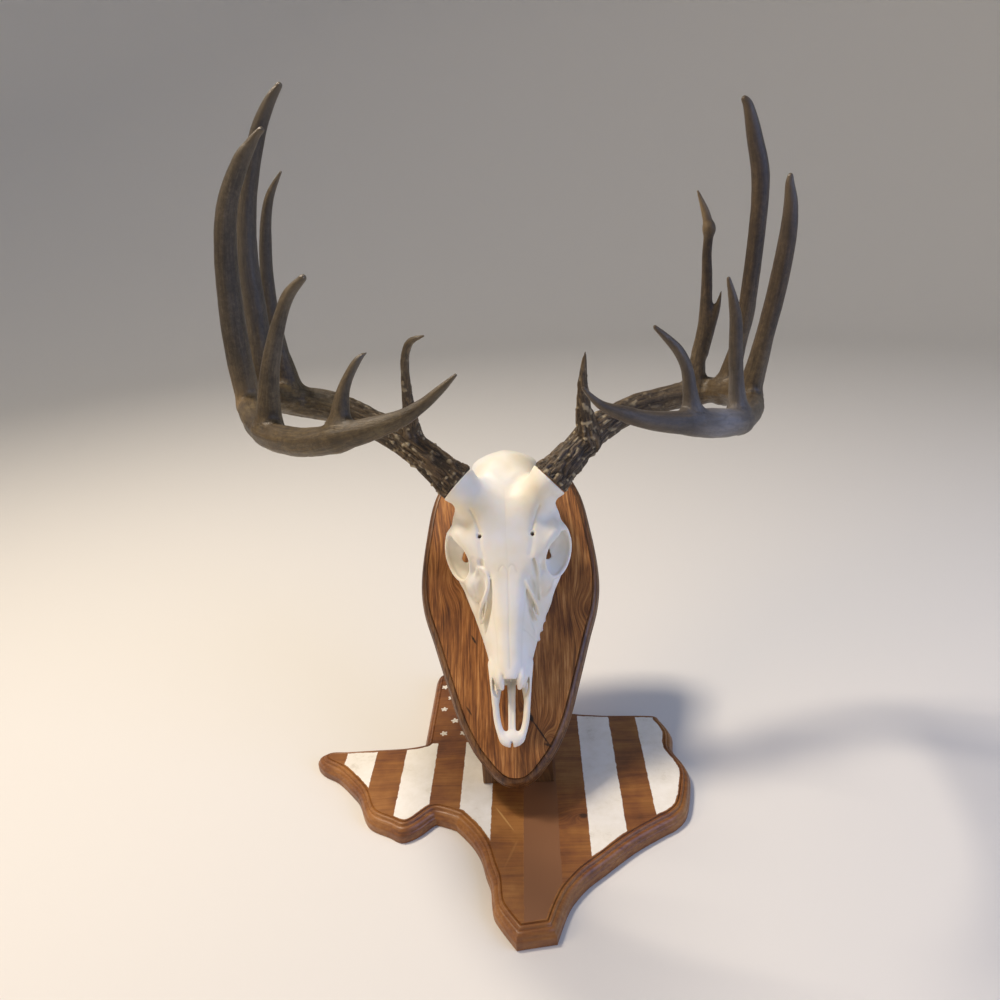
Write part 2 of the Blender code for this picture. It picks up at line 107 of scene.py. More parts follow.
def routed(name, rings):
    """A board drawn as a disc on its underside and extruded up through the rings, as a router steps
    round its edge. Each ring is an outline and its height in mm, and the last one is the flat."""
    levels = [[(spot.x * MM, spot.y * MM, height * MM) for spot in outline] for outline, height in rings]
    bpy.ops.mesh.primitive_circle_add(vertices=len(levels[0]), fill_type="NGON")
    board = bpy.context.object
    board.name = name
    for corner, place in zip(board.data.vertices, levels[0]):
        corner.co = place
    for level in levels[1:]:
        bpy.ops.object.mode_set(mode="EDIT")
        bpy.ops.mesh.extrude_region()
        bpy.ops.object.mode_set(mode="OBJECT")
        top = [corner for corner in board.data.vertices if corner.select]
        for corner, place in zip(sorted(top, key=lambda one: one.index), level):
            corner.co = place
    bpy.ops.object.mode_set(mode="EDIT")
    bpy.ops.mesh.select_all(action="SELECT")
    bpy.ops.mesh.normals_make_consistent(inside=False)
    bpy.ops.object.mode_set(mode="OBJECT")
    return board


def mark_vertices(piece, label, values):
    """Give each vertex of a piece a number that its material reads."""
    mark = piece.data.attributes.new(label, "FLOAT", "POINT")
    mark.data.foreach_set("value", np.asarray(values, np.float32))


def hexed(code):
    """A linear colour from an sRGB hex value."""
    parts = [int(code[i:i + 2], 16) / 255 for i in (1, 3, 5)]
    return tuple(p / 12.92 if p <= 0.04045 else ((p + 0.055) / 1.055) ** 2.4 for p in parts) + (1.0,)


def node(material, kind, links=None, values=None, ramp=None, **settings):
    """Add one shader node with its settings, its socket values and its links."""
    tree = material.node_tree
    new = tree.nodes.new("ShaderNode" + kind)
    for name, value in settings.items():
        setattr(new, name, value)
    for socket, value in (values or {}).items():
        new.inputs[socket].default_value = value
    for socket, source in (links or {}).items():
        out = source if isinstance(source, bpy.types.NodeSocket) else source.outputs[0]
        tree.links.new(out, new.inputs[socket])
    if ramp:
        stops = new.color_ramp.elements
        while len(stops) < len(ramp):
            stops.new(0.5)
        for stop, (place, colour) in zip(stops, ramp):
            stop.position = place
            stop.color = hexed(colour) if isinstance(colour, str) else (colour,) * 3 + (1,)
    return new


def material(name):
    """A new material and its shader."""
    made = bpy.data.materials.new(name)
    made.use_nodes = True
    return made, made.node_tree.nodes["Principled BSDF"]


def feed(shader, socket, source):
    """Link a node, or one of its sockets, into the shader."""
    out = source if isinstance(source, bpy.types.NodeSocket) else source.outputs[0]
    shader.id_data.links.new(out, shader.inputs[socket])


def oval(made, board, x, y, half_width, half_length, turn=0.0):
    """How far a place on a board is from (x, y), counted so that it is 1 on an oval of these half
    sizes. All in mm, and the turn in degrees."""
    spot = node(made, "Mapping", {"Vector": board}, {
        "Location": (x * MM, y * MM, 0), "Rotation": (0, 0, math.radians(turn)),
        "Scale": (half_width * MM, half_length * MM, 1000)}, vector_type="TEXTURE")
    return node(made, "VectorMath", {0: spot}, operation="LENGTH").outputs["Value"]


RAMP_START, RAMP_SPAN = 0.39, 0.22      # wood noise hardly leaves this range
ONE_OVER_E = 0.36788


def wood(name, lie, tones, fibre, figure, sway=0.05, gloss=0.42, mottle=0.15,
         knots=(), marks=(), seed=0.0):
    """Stained solid wood. lie turns the piece so that its grain runs along the pattern's Y, and tones
    run from its dark late wood to its pale early wood. fibre and figure are the widths in mm of one
    streak and of one band of rings, sway is how far the grain wanders and mottle the share of uneven
    stain. A knot is (x, y, reach, pull) in mm. A mark, such as a drying check or a scratch, is
    (x, y, width, length, turn, tone, strength), in mm and degrees. Returns the material, its shader,
    its colour and its height."""
    made, shader = material(name)
    place = node(made, "TexCoord").outputs["Object"]
    board = node(made, "Mapping", {"Vector": place}, {"Rotation": lie})
    slow = node(made, "Mapping", {"Vector": board}, {"Scale": (1, 0.3, 1), "Location": (seed, seed, seed)})
    drift = node(made, "TexNoise", {"Vector": slow}, {"Scale": 11.0, "Detail": 2.0})
    parts = node(made, "SeparateXYZ", {"Vector": board})
    across = node(made, "Math", {0: drift, 2: parts.outputs["X"]}, {1: sway}, operation="MULTIPLY_ADD")
    # The rings bend round each knot, in a bell curve.
    for x, y, reach, pull in knots:
        far = oval(made, board, x, y, reach, reach * 1.9)
        near = node(made, "Math", {0: far}, {1: 2.0}, operation="POWER")
        fade = node(made, "Math", {1: near}, {0: ONE_OVER_E}, operation="POWER")
        across = node(made, "Math", {0: fade, 2: across}, {1: pull * MM}, operation="MULTIPLY_ADD")
    lines = node(made, "CombineXYZ", {"X": across, "Y": parts.outputs["Y"], "Z": parts.outputs["Z"]})
    thin = node(made, "Mapping", {"Vector": lines}, {"Scale": (1, 0.035, 1), "Location": (seed, 0, 0)})
    streak = node(made, "TexNoise", {"Vector": thin},
                  {"Scale": 1000 / fibre, "Detail": 5.0, "Roughness": 0.68})
    wide = node(made, "Mapping", {"Vector": lines}, {"Scale": (1, 0.10, 1), "Location": (seed, seed, 0)})
    band_of_rings = node(made, "TexNoise", {"Vector": wide},
                         {"Scale": 1000 / figure, "Detail": 3.0, "Roughness": 0.6})
    patch = node(made, "TexNoise", {"Vector": board}, {"Scale": 19.0, "Detail": 6.0, "Roughness": 0.62})
    grown = node(made, "Mix", {2: streak, 3: band_of_rings}, {0: 0.42}, data_type="FLOAT")
    uneven = node(made, "Mix", {2: grown, 3: patch}, {0: mottle}, data_type="FLOAT")
    count = len(tones) - 1
    colour = node(made, "ValToRGB", {"Fac": uneven}, ramp=[
        (RAMP_START + RAMP_SPAN * i / count, tone) for i, tone in enumerate(tones)]).outputs[0]
    for x, y, width, length, turn, mark_tone, strength in marks:
        far = oval(made, board, x, y, width / 2, length / 2, turn)
        torn = node(made, "Math", {0: streak, 2: far}, {1: 1.2}, operation="MULTIPLY_ADD")
        here = node(made, "MapRange", {"Value": torn},
                    {"From Min": 1.2, "From Max": 1.75, "To Min": strength, "To Max": 0.0})
        colour = node(made, "Mix", {0: here, 6: colour}, {7: hexed(mark_tone)}, data_type="RGBA").outputs[2]
    rough = node(made, "MapRange", {"Value": streak},
                 {"From Min": 0.3, "From Max": 0.7, "To Min": gloss + 0.10, "To Max": gloss - 0.05})
    feed(shader, "Roughness", rough)
    return made, shader, colour, grown.outputs[0]


map_corners = [Vector(corner) for corner in MAP]


def board_outline(out):
    """The map's curved outline, moved outward by some millimetres."""
    return flowing(outset(map_corners, out), 4, MAP_CORNERS)


rings = [(board_outline(BOARD_MOULDING - UNDER_EASE), 0.0), (board_outline(BOARD_MOULDING), UNDER_EASE)]
rings += [(board_outline(out), BOARD_THICKNESS - down) for out, down in reversed(BOARD_EDGE)]
rings.append((board_outline(-PAINT_MARGIN), BOARD_THICKNESS))
base_board = routed("base_board", rings)
inland = np.zeros(len(base_board.data.vertices))
inland[-len(rings[0][0]):] = 1
mark_vertices(base_board, "inland", inland)
bpy.ops.object.shade_smooth_by_angle(angle=math.radians(42))

# Stained pine: a warm mid brown with darker figure lines running east and west, one knot and a few
# pale scratches, under a thin varnish. White and brown latex paint makes the flat's stripes matte,
# with slightly ragged edges and scuffs.
stained, shader, bare, grain = wood(
    "stained_pine", (0, 0, math.radians(90)), ("#5a3418", "#784824", "#8c5a2a", "#a06c37"),
    fibre=2.4, figure=12.0, gloss=0.4, mottle=0.5, knots=((76.3, 60.3, 8.5, 17.0),),
    marks=((76.3, 60.3, 6.5, 8.5, 0, "#2a160a", 0.85), (76.5, -13.4, 1.7, 37, -60, "#c69a5e", 0.7),
           (118, -6, 2.4, 34, 70, "#b98a50", 0.2), (140, 14, 2.2, 20, 55, "#b98a50", 0.3)), seed=0.3)
WHITE = [(-182.0, -150.3), (-119.0, -86.4), (-56.3, -25.8), (64.1, 98.0), (127.2, 170.0)]
BROWN = (4.7, 36.9)
CANTON_EDGE = 35.5              # the starry panhandle begins here, in mm north of the post
CANTON_EAST = 20.0
RAGGED = 0.5                    # how far a painted edge strays to either side, in mm
SOFT = 0.0002                   # half the width over which the paint thins out, in metres
place = node(stained, "TexCoord").outputs["Object"]
split = node(stained, "SeparateXYZ", {"Vector": place})
fray = node(stained, "TexNoise", {"Vector": place}, {"Scale": 140.0, "Detail": 4.0, "Roughness": 0.7})
stray = node(stained, "MapRange", {"Value": fray},
             {"From Min": 0.3, "From Max": 0.7, "To Min": -RAGGED * MM, "To Max": RAGGED * MM})
east = node(stained, "Math", {0: split.outputs["X"], 1: stray}, operation="ADD")
north = node(stained, "Math", {0: split.outputs["Y"], 1: stray}, operation="ADD")


def band(value, low, high):
    """1 between two edges in mm, 0 outside."""
    rise = node(stained, "MapRange", {"Value": value},
                {"From Min": low * MM - SOFT, "From Max": low * MM + SOFT})
    fall = node(stained, "MapRange", {"Value": value},
                {"From Min": high * MM - SOFT, "From Max": high * MM + SOFT, "To Min": 1.0, "To Max": 0.0})
    return node(stained, "Math", {0: rise, 1: fall}, operation="MULTIPLY")


stripes = band(east, *WHITE[0])
for low, high in WHITE[1:]:
    stripes = node(stained, "Math", {0: stripes, 1: band(east, low, high)}, operation="MAXIMUM")
canton_east = node(stained, "MapRange", {"Value": east}, {
    "From Min": CANTON_EAST * MM, "From Max": CANTON_EAST * MM + SOFT, "To Min": 1.0, "To Max": 0.0})
canton_north = node(stained, "MapRange", {"Value": north},
                    {"From Min": CANTON_EDGE * MM, "From Max": CANTON_EDGE * MM + SOFT})
canton = node(stained, "Math", {0: canton_east, 1: canton_north}, operation="MULTIPLY")
clear = node(stained, "Math", {1: canton}, {0: 1.0}, operation="SUBTRACT")
on_flat = node(stained, "Attribute", attribute_name="inland")
edge = node(stained, "Math", {0: on_flat.outputs["Fac"], 1: fray}, operation="ADD")
painted = node(stained, "MapRange", {"Value": edge}, {"From Min": 0.86, "From Max": 0.92})
white_here = node(stained, "Math", {0: stripes, 1: clear}, operation="MULTIPLY")
white_here = node(stained, "Math", {0: white_here, 1: painted}, operation="MULTIPLY")
brown_here = node(stained, "Math", {0: band(east, *BROWN), 1: painted}, operation="MULTIPLY")
scuff = node(stained, "TexNoise", {"Vector": place}, {"Scale": 38.0, "Detail": 6.0, "Roughness": 0.72})
latex = node(stained, "ValToRGB", {"Fac": scuff},
             ramp=[(0.28, "#d8d2c3"), (0.40, "#eeeadf"), (0.6, "#f7f4ec")])
whitened = node(stained, "Mix", {0: white_here, 6: bare, 7: latex}, data_type="RGBA").outputs[2]
browned = node(stained, "Mix", {0: brown_here, 6: whitened}, {7: hexed("#7f5433")}, data_type="RGBA")
feed(shader, "Base Color", browned.outputs[2])
any_paint = node(stained, "Math", {0: white_here, 1: brown_here}, operation="MAXIMUM")
gloss = shader.inputs["Roughness"].links[0].from_socket
feed(shader, "Roughness", node(stained, "Mix", {0: any_paint, 2: gloss}, {3: 0.55}, data_type="FLOAT"))
relief = node(stained, "Mix", {0: any_paint, 2: grain}, {3: 0.9}, data_type="FLOAT")
feed(shader, "Normal", node(stained, "Bump", {"Height": relief}, {"Strength": 0.35, "Distance": 0.0004}))
shader.inputs["Coat Weight"].default_value = 0.12
shader.inputs["Coat Roughness"].default_value = 0.25
base_board.data.materials.append(stained)
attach(base_board, "root")
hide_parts("base")


# The stars: white paint dabbed through a small stencil onto the bare panhandle, in staggered
# rows, each a five-lobed blot with a little thickness of its own.
STAR_WIDTH = 8.8
STAR_FILM = 0.22                # the thickness of the paint
STAR_PLACES = [(-88.5, 139.0), (-79.0, 117.0), (-85.5, 95.4), (-71.6, 73.6), (-82.0, 51.6), (-60.5, 51.4),
               (-62, 139), (-35, 139), (-50, 117), (-58, 95.4), (-31, 95.4), (-45, 73.6), (-20, 73.6),
               (-33, 51.4), (-6, 51.4)]
bpy.ops.object.select_all(action="DESELECT")
bpy.ops.mesh.primitive_cylinder_add(
    vertices=40, radius=STAR_WIDTH / 2 * MM, depth=STAR_FILM * MM, end_fill_type="NGON")
stamp = bpy.context.object
stamp.name = "star_paint"
for corner in stamp.data.vertices:
    angle = math.atan2(corner.co.y, corner.co.x)
    reach = 0.78 + 0.22 * math.cos(5 * (angle - math.radians(90)))
    corner.co.x *= reach
    corner.co.y *= reach
copies = []
for index, (x, y) in enumerate(STAR_PLACES):
    blot = stamp.copy()
    blot.data = stamp.data.copy()
    bpy.context.scene.collection.objects.link(blot)
    # no two dabs turn or spread quite alike
    turn = Matrix.Rotation(math.radians(11 * (index % 5) - 22), 4, "Z")
    size = 1 + 0.06 * math.sin(index * 2.4)
    spot = Vector((x, y, BOARD_THICKNESS + STAR_FILM / 2)) * MM
    blot.data.transform(Matrix.Translation(spot) @ turn @ Matrix.Scale(size, 4))
    copies.append(blot)
bpy.data.objects.remove(stamp)
for blot in copies:
    blot.select_set(True)
bpy.context.view_layer.objects.active = copies[0]
bpy.ops.object.join()
stars = bpy.context.object
stars.name = "star_paint"
bpy.ops.object.select_all(action="DESELECT")
# White latex paint, thin and matte, with greyer blotches where the wood shows through.
chalky, shader = material("white_latex_paint")
place = node(chalky, "TexCoord").outputs["Object"]
blotch = node(chalky, "TexNoise", {"Vector": place}, {"Scale": 600.0, "Detail": 3.0})
tone = node(chalky, "ValToRGB", {"Fac": blotch}, ramp=[(0.3, "#d2ccbe"), (0.6, "#ebe7dc")])
feed(shader, "Base Color", tone)
shader.inputs["Roughness"].default_value = 0.6
stars.data.materials.clear()
stars.data.materials.append(chalky)
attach(stars, "root")


# The post: a short square length of pine fastened upright on the board, its top sawn at 45 degrees
# so that the plaque lies flat against it, its edges eased with sandpaper.
POST_WIDTH, POST_DEPTH = 70, 60
LEAN = math.radians(45)
PLAQUE_FOOT = Vector((0, -0.0627, 0.040))       # the plaque's lowest back edge
GAP = 0.3                       # between two pieces that touch
POST_EASE = 1.2
low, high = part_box("post")
bpy.ops.mesh.primitive_cube_add(size=1)
post = bpy.context.object
post.name = "post_block"
for corner in post.data.vertices:
    x = math.copysign(POST_WIDTH / 2 * MM, corner.co.x)
    y = math.copysign(POST_DEPTH / 2 * MM, corner.co.y)
    top = PLAQUE_FOOT.z - GAP * MM / math.cos(LEAN) + (y - PLAQUE_FOOT.y) * math.tan(LEAN)
    corner.co = (x, y, top if corner.co.z > 0 else low.z)
ease = post.modifiers.new("sanded edges", "BEVEL")
ease.width = POST_EASE * MM
ease.segments = 3
bpy.ops.object.modifier_apply(modifier=ease.name)
bpy.ops.object.shade_smooth_by_angle(angle=math.radians(40))
# Stained pine again, a little darker and greyer, with its grain standing upright.
post_wood, shader, colour, grain = wood(
    "stained_post_pine", (math.radians(90), 0, 0), ("#3f2712", "#5f3f21", "#74502c", "#866038"),
    fibre=2.4, figure=9.0, gloss=0.42, seed=0.8)
feed(shader, "Base Color", colour)
feed(shader, "Normal", node(post_wood, "Bump", {"Height": grain}, {"Strength": 0.35, "Distance": 0.0004}))
post.data.materials.append(post_wood)
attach(post, "root")
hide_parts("post")


# The plaque: a long shield sawn from one walnut board and planed flat, its edge routed with a quirk
# and a rounded bead, varnished. It leans back 45 degrees against the post, fastened from behind.
PLAQUE_LENGTH, PLAQUE_WIDTH, PLAQUE_THICKNESS, PLAQUE_MOULDING = 336, 184, 18, 7.8
# Half the outline from the foot to the top, as shares of half the width and of the length.
PLAQUE_HALF = [(0, 0), (0.11, 0.005), (0.21, 0.023), (0.31, 0.053), (0.44, 0.101), (0.584, 0.182),
               (0.72, 0.295), (0.852, 0.411), (0.965, 0.51), (1, 0.61), (0.95, 0.75), (0.845, 0.89),
               (0.62, 0.97), (0, 1)]
# The routed edge in millimetres out and down from the flat.
PLAQUE_EDGE = [(0, 0), (0.15, 1.3), (0.5, 1.9), (0.95, 1.6), (1.7, 1.65), (2.8, 1.95), (4.0, 2.6),
               (5.1, 3.6), (6.0, 5.0), (6.55, 6.6), (6.75, 8.2), (6.85, 9.2), (7.2, 9.6), (7.6, 10.3),
               (7.8, 11.2), (7.8, 12.2)]
onto_plaque = Matrix.Translation(PLAQUE_FOOT) @ Matrix.Rotation(LEAN, 4, "X")
half = [Vector((x * PLAQUE_WIDTH / 2, y * PLAQUE_LENGTH)) for x, y in PLAQUE_HALF]
rim = flowing(half + [Vector((-p.x, p.y)) for p in reversed(half[1:-1])], 8)
rings = [(outset(rim, -UNDER_EASE), 0.0), (rim, UNDER_EASE)]
rings += [(outset(rim, out - PLAQUE_MOULDING), PLAQUE_THICKNESS - down)
          for out, down in reversed(PLAQUE_EDGE)]
plaque = routed("plaque_board", rings)
moulded = np.ones(len(plaque.data.vertices))
moulded[-len(rim):] = 0
mark_vertices(plaque, "moulded", moulded)
plaque.data.transform(onto_plaque)
bpy.ops.object.shade_smooth_by_angle(angle=math.radians(42))
# Walnut under a satin varnish: close upright grain that swirls round four knots, a few dark drying
# checks and faint scuffs, and a moulding that holds more stain than the flat.
walnut, shader, colour, grain = wood(
    "varnished_walnut", (-LEAN, 0, 0), ("#4f2c14", "#7c4b23", "#a66d37", "#c59058"),
    fibre=1.3, figure=6.0, sway=0.035, gloss=0.4,
    knots=((29.0, 19.0, 10.0, 17.0), (14.0, 46.0, 7.0, -12.0), (-60.0, 188.0, 12.0, 14.0),
           (70, 150, 10, 9)),
    marks=((-37.5, 123, 2.4, 11, 28, "#160b05", 0.95), (-43, 54, 1.9, 11, 32, "#160b05", 0.8),
           (25, 31, 1.9, 34, 33, "#160b05", 0.9), (16, 45, 5, 9, 20, "#160b05", 0.9),
           (31, 20, 3.0, 9, 70, "#1f1007", 0.8), (-46, 173, 3.0, 26, 14, "#3a2010", 0.5),
           (60, 96, 2.6, 44, -8, "#3a2010", 0.5), (6, 12, 2.4, 22, 12, "#3a2010", 0.5)), seed=0.0)
on_edge = node(walnut, "Attribute", attribute_name="moulded")
held = node(walnut, "MapRange", {"Value": on_edge.outputs["Fac"]}, {"To Min": 1.0, "To Max": 0.42})
deeper = node(walnut, "Mix", {6: colour, 7: held}, {0: 1.0}, data_type="RGBA", blend_type="MULTIPLY")
feed(shader, "Base Color", deeper.outputs[2])
feed(shader, "Normal", node(walnut, "Bump", {"Height": grain}, {"Strength": 0.4, "Distance": 0.0004}))
shader.inputs["Coat Weight"].default_value = 0.06
shader.inputs["Coat Roughness"].default_value = 0.3
plaque.data.materials.append(walnut)
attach(plaque, "root")
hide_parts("plaque")


# The skull: one bleached and whitened deer skull without its lower jaw, lying flat on its teeth
# and braincase, held from behind by something that does not show. It is drawn in millimetres, nose
# at y 0, back of the head at y 296, plaque face at z 0, and grown as bone: masses run together.
BONE_GRAIN = 0.95               # the fineness in which the bone is grown
BONE_TRIANGLES = 185000
BACK_OF_HEAD = 296
EMPTY = 12.0                    # the depth of space that no bone has reached
SKULL_SEAT = Vector((1.5, 33.0, PLAQUE_THICKNESS + GAP))       # the nose's place on the plaque
SKULL_RINGS = [     # y, roof, half width of the roof, half width and height of the widest line, floor
    (40, 38, 8, 15, 27, 16), (52, 43, 8, 16, 27, 13), (62, 46, 10, 17.5, 28, 12),
    (77, 50, 11, 20.5, 27, 10), (97, 56, 13, 26, 24, 8), (117, 62, 15, 33, 23, 7), (137, 68, 19, 39, 26, 8),
    (152, 73, 22, 41, 31, 10), (166, 77, 27, 41, 42, 15), (180, 81, 31, 37, 58, 20),
    (199, 86, 34, 36, 68, 24), (217, 88.5, 35, 38, 70, 24), (237, 86, 30, 36, 64, 18),
    (250, 83.5, 26, 34.5, 58, 12), (262, 80, 24, 34, 54, 8), (275, 72, 21, 32.5, 50, 6),
    (287, 56, 14, 25, 42, 8), (297, 42, 5, 13, 34, 16), (303, 30, 3, 6, 30, 22),
]
PEDICLE_SEAT = Vector((44, 235, 90))
PEDICLE_AXIS = Vector((0.72, 0.62, 0.31)).normalized()
PEDICLE_ROOT = Vector((12, 207, 64))
PEDICLE_REACH = 34              # the flat seat cuts only what lies this near to its middle
ORBIT = Vector((49, 175, 50))                   # the eye socket, and its two directions
ORBIT_BACK = Vector((8.5, 23.5, 4))
ORBIT_DOWN = Vector((10, 0, -18))


def through(stations, steps=6):
    """A smooth path through stations of any number of values each."""
    points = [np.array(station, float) for station in stations]
    path = []
    for index in range(len(points) - 1):
        a, b, c, d = (points[min(max(index + shift, 0), len(points) - 1)] for shift in (-1, 0, 1, 2))
        path += [between(a, b, c, d, step / steps) for step in range(steps)]
    return np.array(path + [points[-1]])


def melted(one, other, blend):
    """The nearer of two depths, rounded over a blend where they meet."""
    share = np.clip(0.5 + 0.5 * (other - one) / blend, 0, 1)
    return other + (one - other) * share - blend * share * (1 - share)


def beyond_face(x, y, z, point, normal):
    """How far places lie beyond a flat face."""
    return (x - point[0]) * normal[0] + (y - point[1]) * normal[1] + (z - point[2]) * normal[2]


class Clay:
    """A block of space that holds the depth below a growing surface, negative inside."""

    def __init__(self, low, high, grain):
        self.grain = grain
        self.axes = [np.arange(a, b, grain, dtype=np.float32) for a, b in zip(low, high)]
        self.depth = np.full([len(axis) for axis in self.axes], EMPTY, np.float32)

    def window(self, low, high):
        """The part of the block between two corners, and the places in it along each axis."""
        cut = []
        for axis, a, b in zip(self.axes, low, high):
            start = int(np.clip(np.searchsorted(axis, a), 0, len(axis) - 1))
            end = int(np.clip(np.searchsorted(axis, b), start + 1, len(axis)))
            cut.append(slice(start, end))
        return tuple(cut), np.ix_(*(axis[part] for axis, part in zip(self.axes, cut)))

    def apply(self, cut, depth, blend, take):
        """Add a form to that part of the block, or take it away."""
        here = self.depth[cut]
        self.depth[cut] = -melted(-here, depth, blend) if take else melted(here, depth, blend)

    def limb(self, stations, blend=2.0, take=False, steps=6, press=None):
        """A round limb through stations (x, y, z, radius). press is a direction and how many times
        thinner the limb is that way."""
        path = through(stations, steps)
        reach = path[:, 3].max() + blend + 2 * self.grain
        cut, (x, y, z) = self.window(path[:, :3].min(0) - reach, path[:, :3].max(0) + reach)
        depth = np.full([x.size, y.size, z.size], EMPTY, np.float32)
        for start, end in zip(path[:-1], path[1:]):
            part, (u, v, w) = self.window(np.minimum(start, end)[:3] - reach,
                                          np.maximum(start, end)[:3] + reach)
            part = tuple(slice(p.start - c.start, p.stop - c.start) for p, c in zip(part, cut))
            run = end[:3] - start[:3]
            length = max(float(run @ run), 1e-6)
            du, dv, dw = u - start[0], v - start[1], w - start[2]
            t = np.clip((du * run[0] + dv * run[1] + dw * run[2]) / length, 0, 1)
            du, dv, dw = du - t * run[0], dv - t * run[1], dw - t * run[2]
            if press is not None:
                lean = (du * press[0] + dv * press[1] + dw * press[2]) * (press[3] - 1)
                du, dv, dw = du + lean * press[0], dv + lean * press[1], dw + lean * press[2]
            far = np.sqrt(du * du + dv * dv + dw * dw) - (start[3] + t * (end[3] - start[3]))
            if press is not None:
                far = np.where(far < 0, far / press[3] * 1.6, far)
            depth[part] = np.minimum(depth[part], far)
        self.apply(cut, depth, blend, take)

    def lump(self, centre, radii, blend=2.0, take=False, turn=None, face=None):
        """An ellipsoid. turn holds its own three directions, and face is a point, a direction and a
        rounding: nothing grows beyond that flat face."""
        reach = max(radii) + blend + 2 * self.grain
        centre = np.array(centre, float)
        cut, (x, y, z) = self.window(centre - reach, centre + reach)
        dx, dy, dz = x - centre[0], y - centre[1], z - centre[2]
        if turn is not None:
            dx, dy, dz = (dx * row[0] + dy * row[1] + dz * row[2] for row in turn)
        k0 = np.sqrt((dx / radii[0]) ** 2 + (dy / radii[1]) ** 2 + (dz / radii[2]) ** 2)
        k1 = np.sqrt((dx / radii[0] ** 2) ** 2 + (dy / radii[1] ** 2) ** 2 + (dz / radii[2] ** 2) ** 2)
        depth = k0 * (k0 - 1) / np.maximum(k1, 1e-6)
        if face is not None:
            point, normal, round_over = face
            beyond = beyond_face(x, y, z, point, normal)
            depth = -melted(-depth, -beyond, round_over)
        self.apply(cut, depth.astype(np.float32), blend, take)

    def skin(self, name):
        """The surface where the depth is nothing, as a mesh of small squares."""
        depth, grain = self.depth, self.grain
        origin = np.array([axis[0] for axis in self.axes])
        shape = np.array(depth.shape)
        inside = depth < 0
        crossings, cells = [], []
        for way in range(3):
            one = [slice(None)] * 3
            two = [slice(None)] * 3
            one[way], two[way] = slice(0, -1), slice(1, None)
            spots = np.argwhere(inside[tuple(one)] != inside[tuple(two)])
            spots = spots[np.all((spots > 0) & (spots < shape - 2), axis=1)]
            ahead = spots.copy()
            ahead[:, way] += 1
            near, far = depth[tuple(spots.T)], depth[tuple(ahead.T)]
            place = spots.astype(np.float64)
            place[:, way] += near / (near - far)
            second, third = (way + 1) % 3, (way + 2) % 3
            around = []
            for a, b in ((-1, -1), (0, -1), (0, 0), (-1, 0)):
                cell = spots.copy()
                cell[:, second] += a
                cell[:, third] += b
                around.append((cell[:, 0] * shape[1] + cell[:, 1]) * shape[2] + cell[:, 2])
            around = np.stack(around, 1)
            around[near > 0] = around[near > 0][:, ::-1]
            crossings.append(np.repeat(place, 4, 0))
            cells.append(around)
        cells = np.concatenate(cells)
        crossings = np.concatenate(crossings)
        index = np.unique(cells.ravel(), return_inverse=True)[1].ravel()
        count = np.bincount(index)
        middle = np.stack([np.bincount(index, crossings[:, i]) / count for i in range(3)], 1)
        mesh = bpy.data.meshes.new(name)
        mesh.from_pydata((middle * grain + origin).tolist(), [], index.reshape(-1, 4).tolist())
        mesh.validate()
        made = bpy.data.objects.new(name, mesh)
        bpy.context.scene.collection.objects.link(made)
        return made


LATTICE = 32                    # the noise repeats after this many of its bumps


def lumps(points, size, seed):
    """Smooth noise from -1 to 1 with bumps of a size, the same every run."""
    lattice = np.random.default_rng(seed).random((LATTICE, LATTICE, LATTICE)) * 2 - 1
    scaled = points / size
    cell = np.floor(scaled).astype(int)
    t = scaled - cell
    t = t * t * (3 - 2 * t)
    total = np.zeros(len(points))
    for step in np.ndindex(2, 2, 2):
        weight = np.where(step, t, 1 - t).prod(axis=1)
        total += weight * lattice[tuple((cell + step).T % LATTICE)]
    return total


def per_vertex(piece, what):
    """The places ("co") or the outward directions ("normal") of a piece's vertices."""
    flat = np.empty(len(piece.data.vertices) * 3)
    piece.data.vertices.foreach_get(what, flat)
    return flat.reshape(-1, 3)


def move_to(piece, points):
    """Give a piece's vertices new places."""
    piece.data.vertices.foreach_set("co", points.ravel())
    piece.data.update()


def with_modifier(piece, kind, **settings):
    """Put one modifier on a piece and apply it."""
    bpy.ops.object.select_all(action="DESELECT")
    bpy.context.view_layer.objects.active = piece
    piece.select_set(True)
    change = piece.modifiers.new(kind.lower(), kind)
    for name, value in settings.items():
        setattr(change, name, value)
    bpy.ops.object.modifier_apply(modifier=change.name)


def thin_out(piece, triangles):
    """Merge the smallest faces until about this many triangles are left, and shade them smooth."""
    with_modifier(piece, "DECIMATE", ratio=min(1.0, triangles / (2 * len(piece.data.polygons))))
    piece.data.shade_smooth()


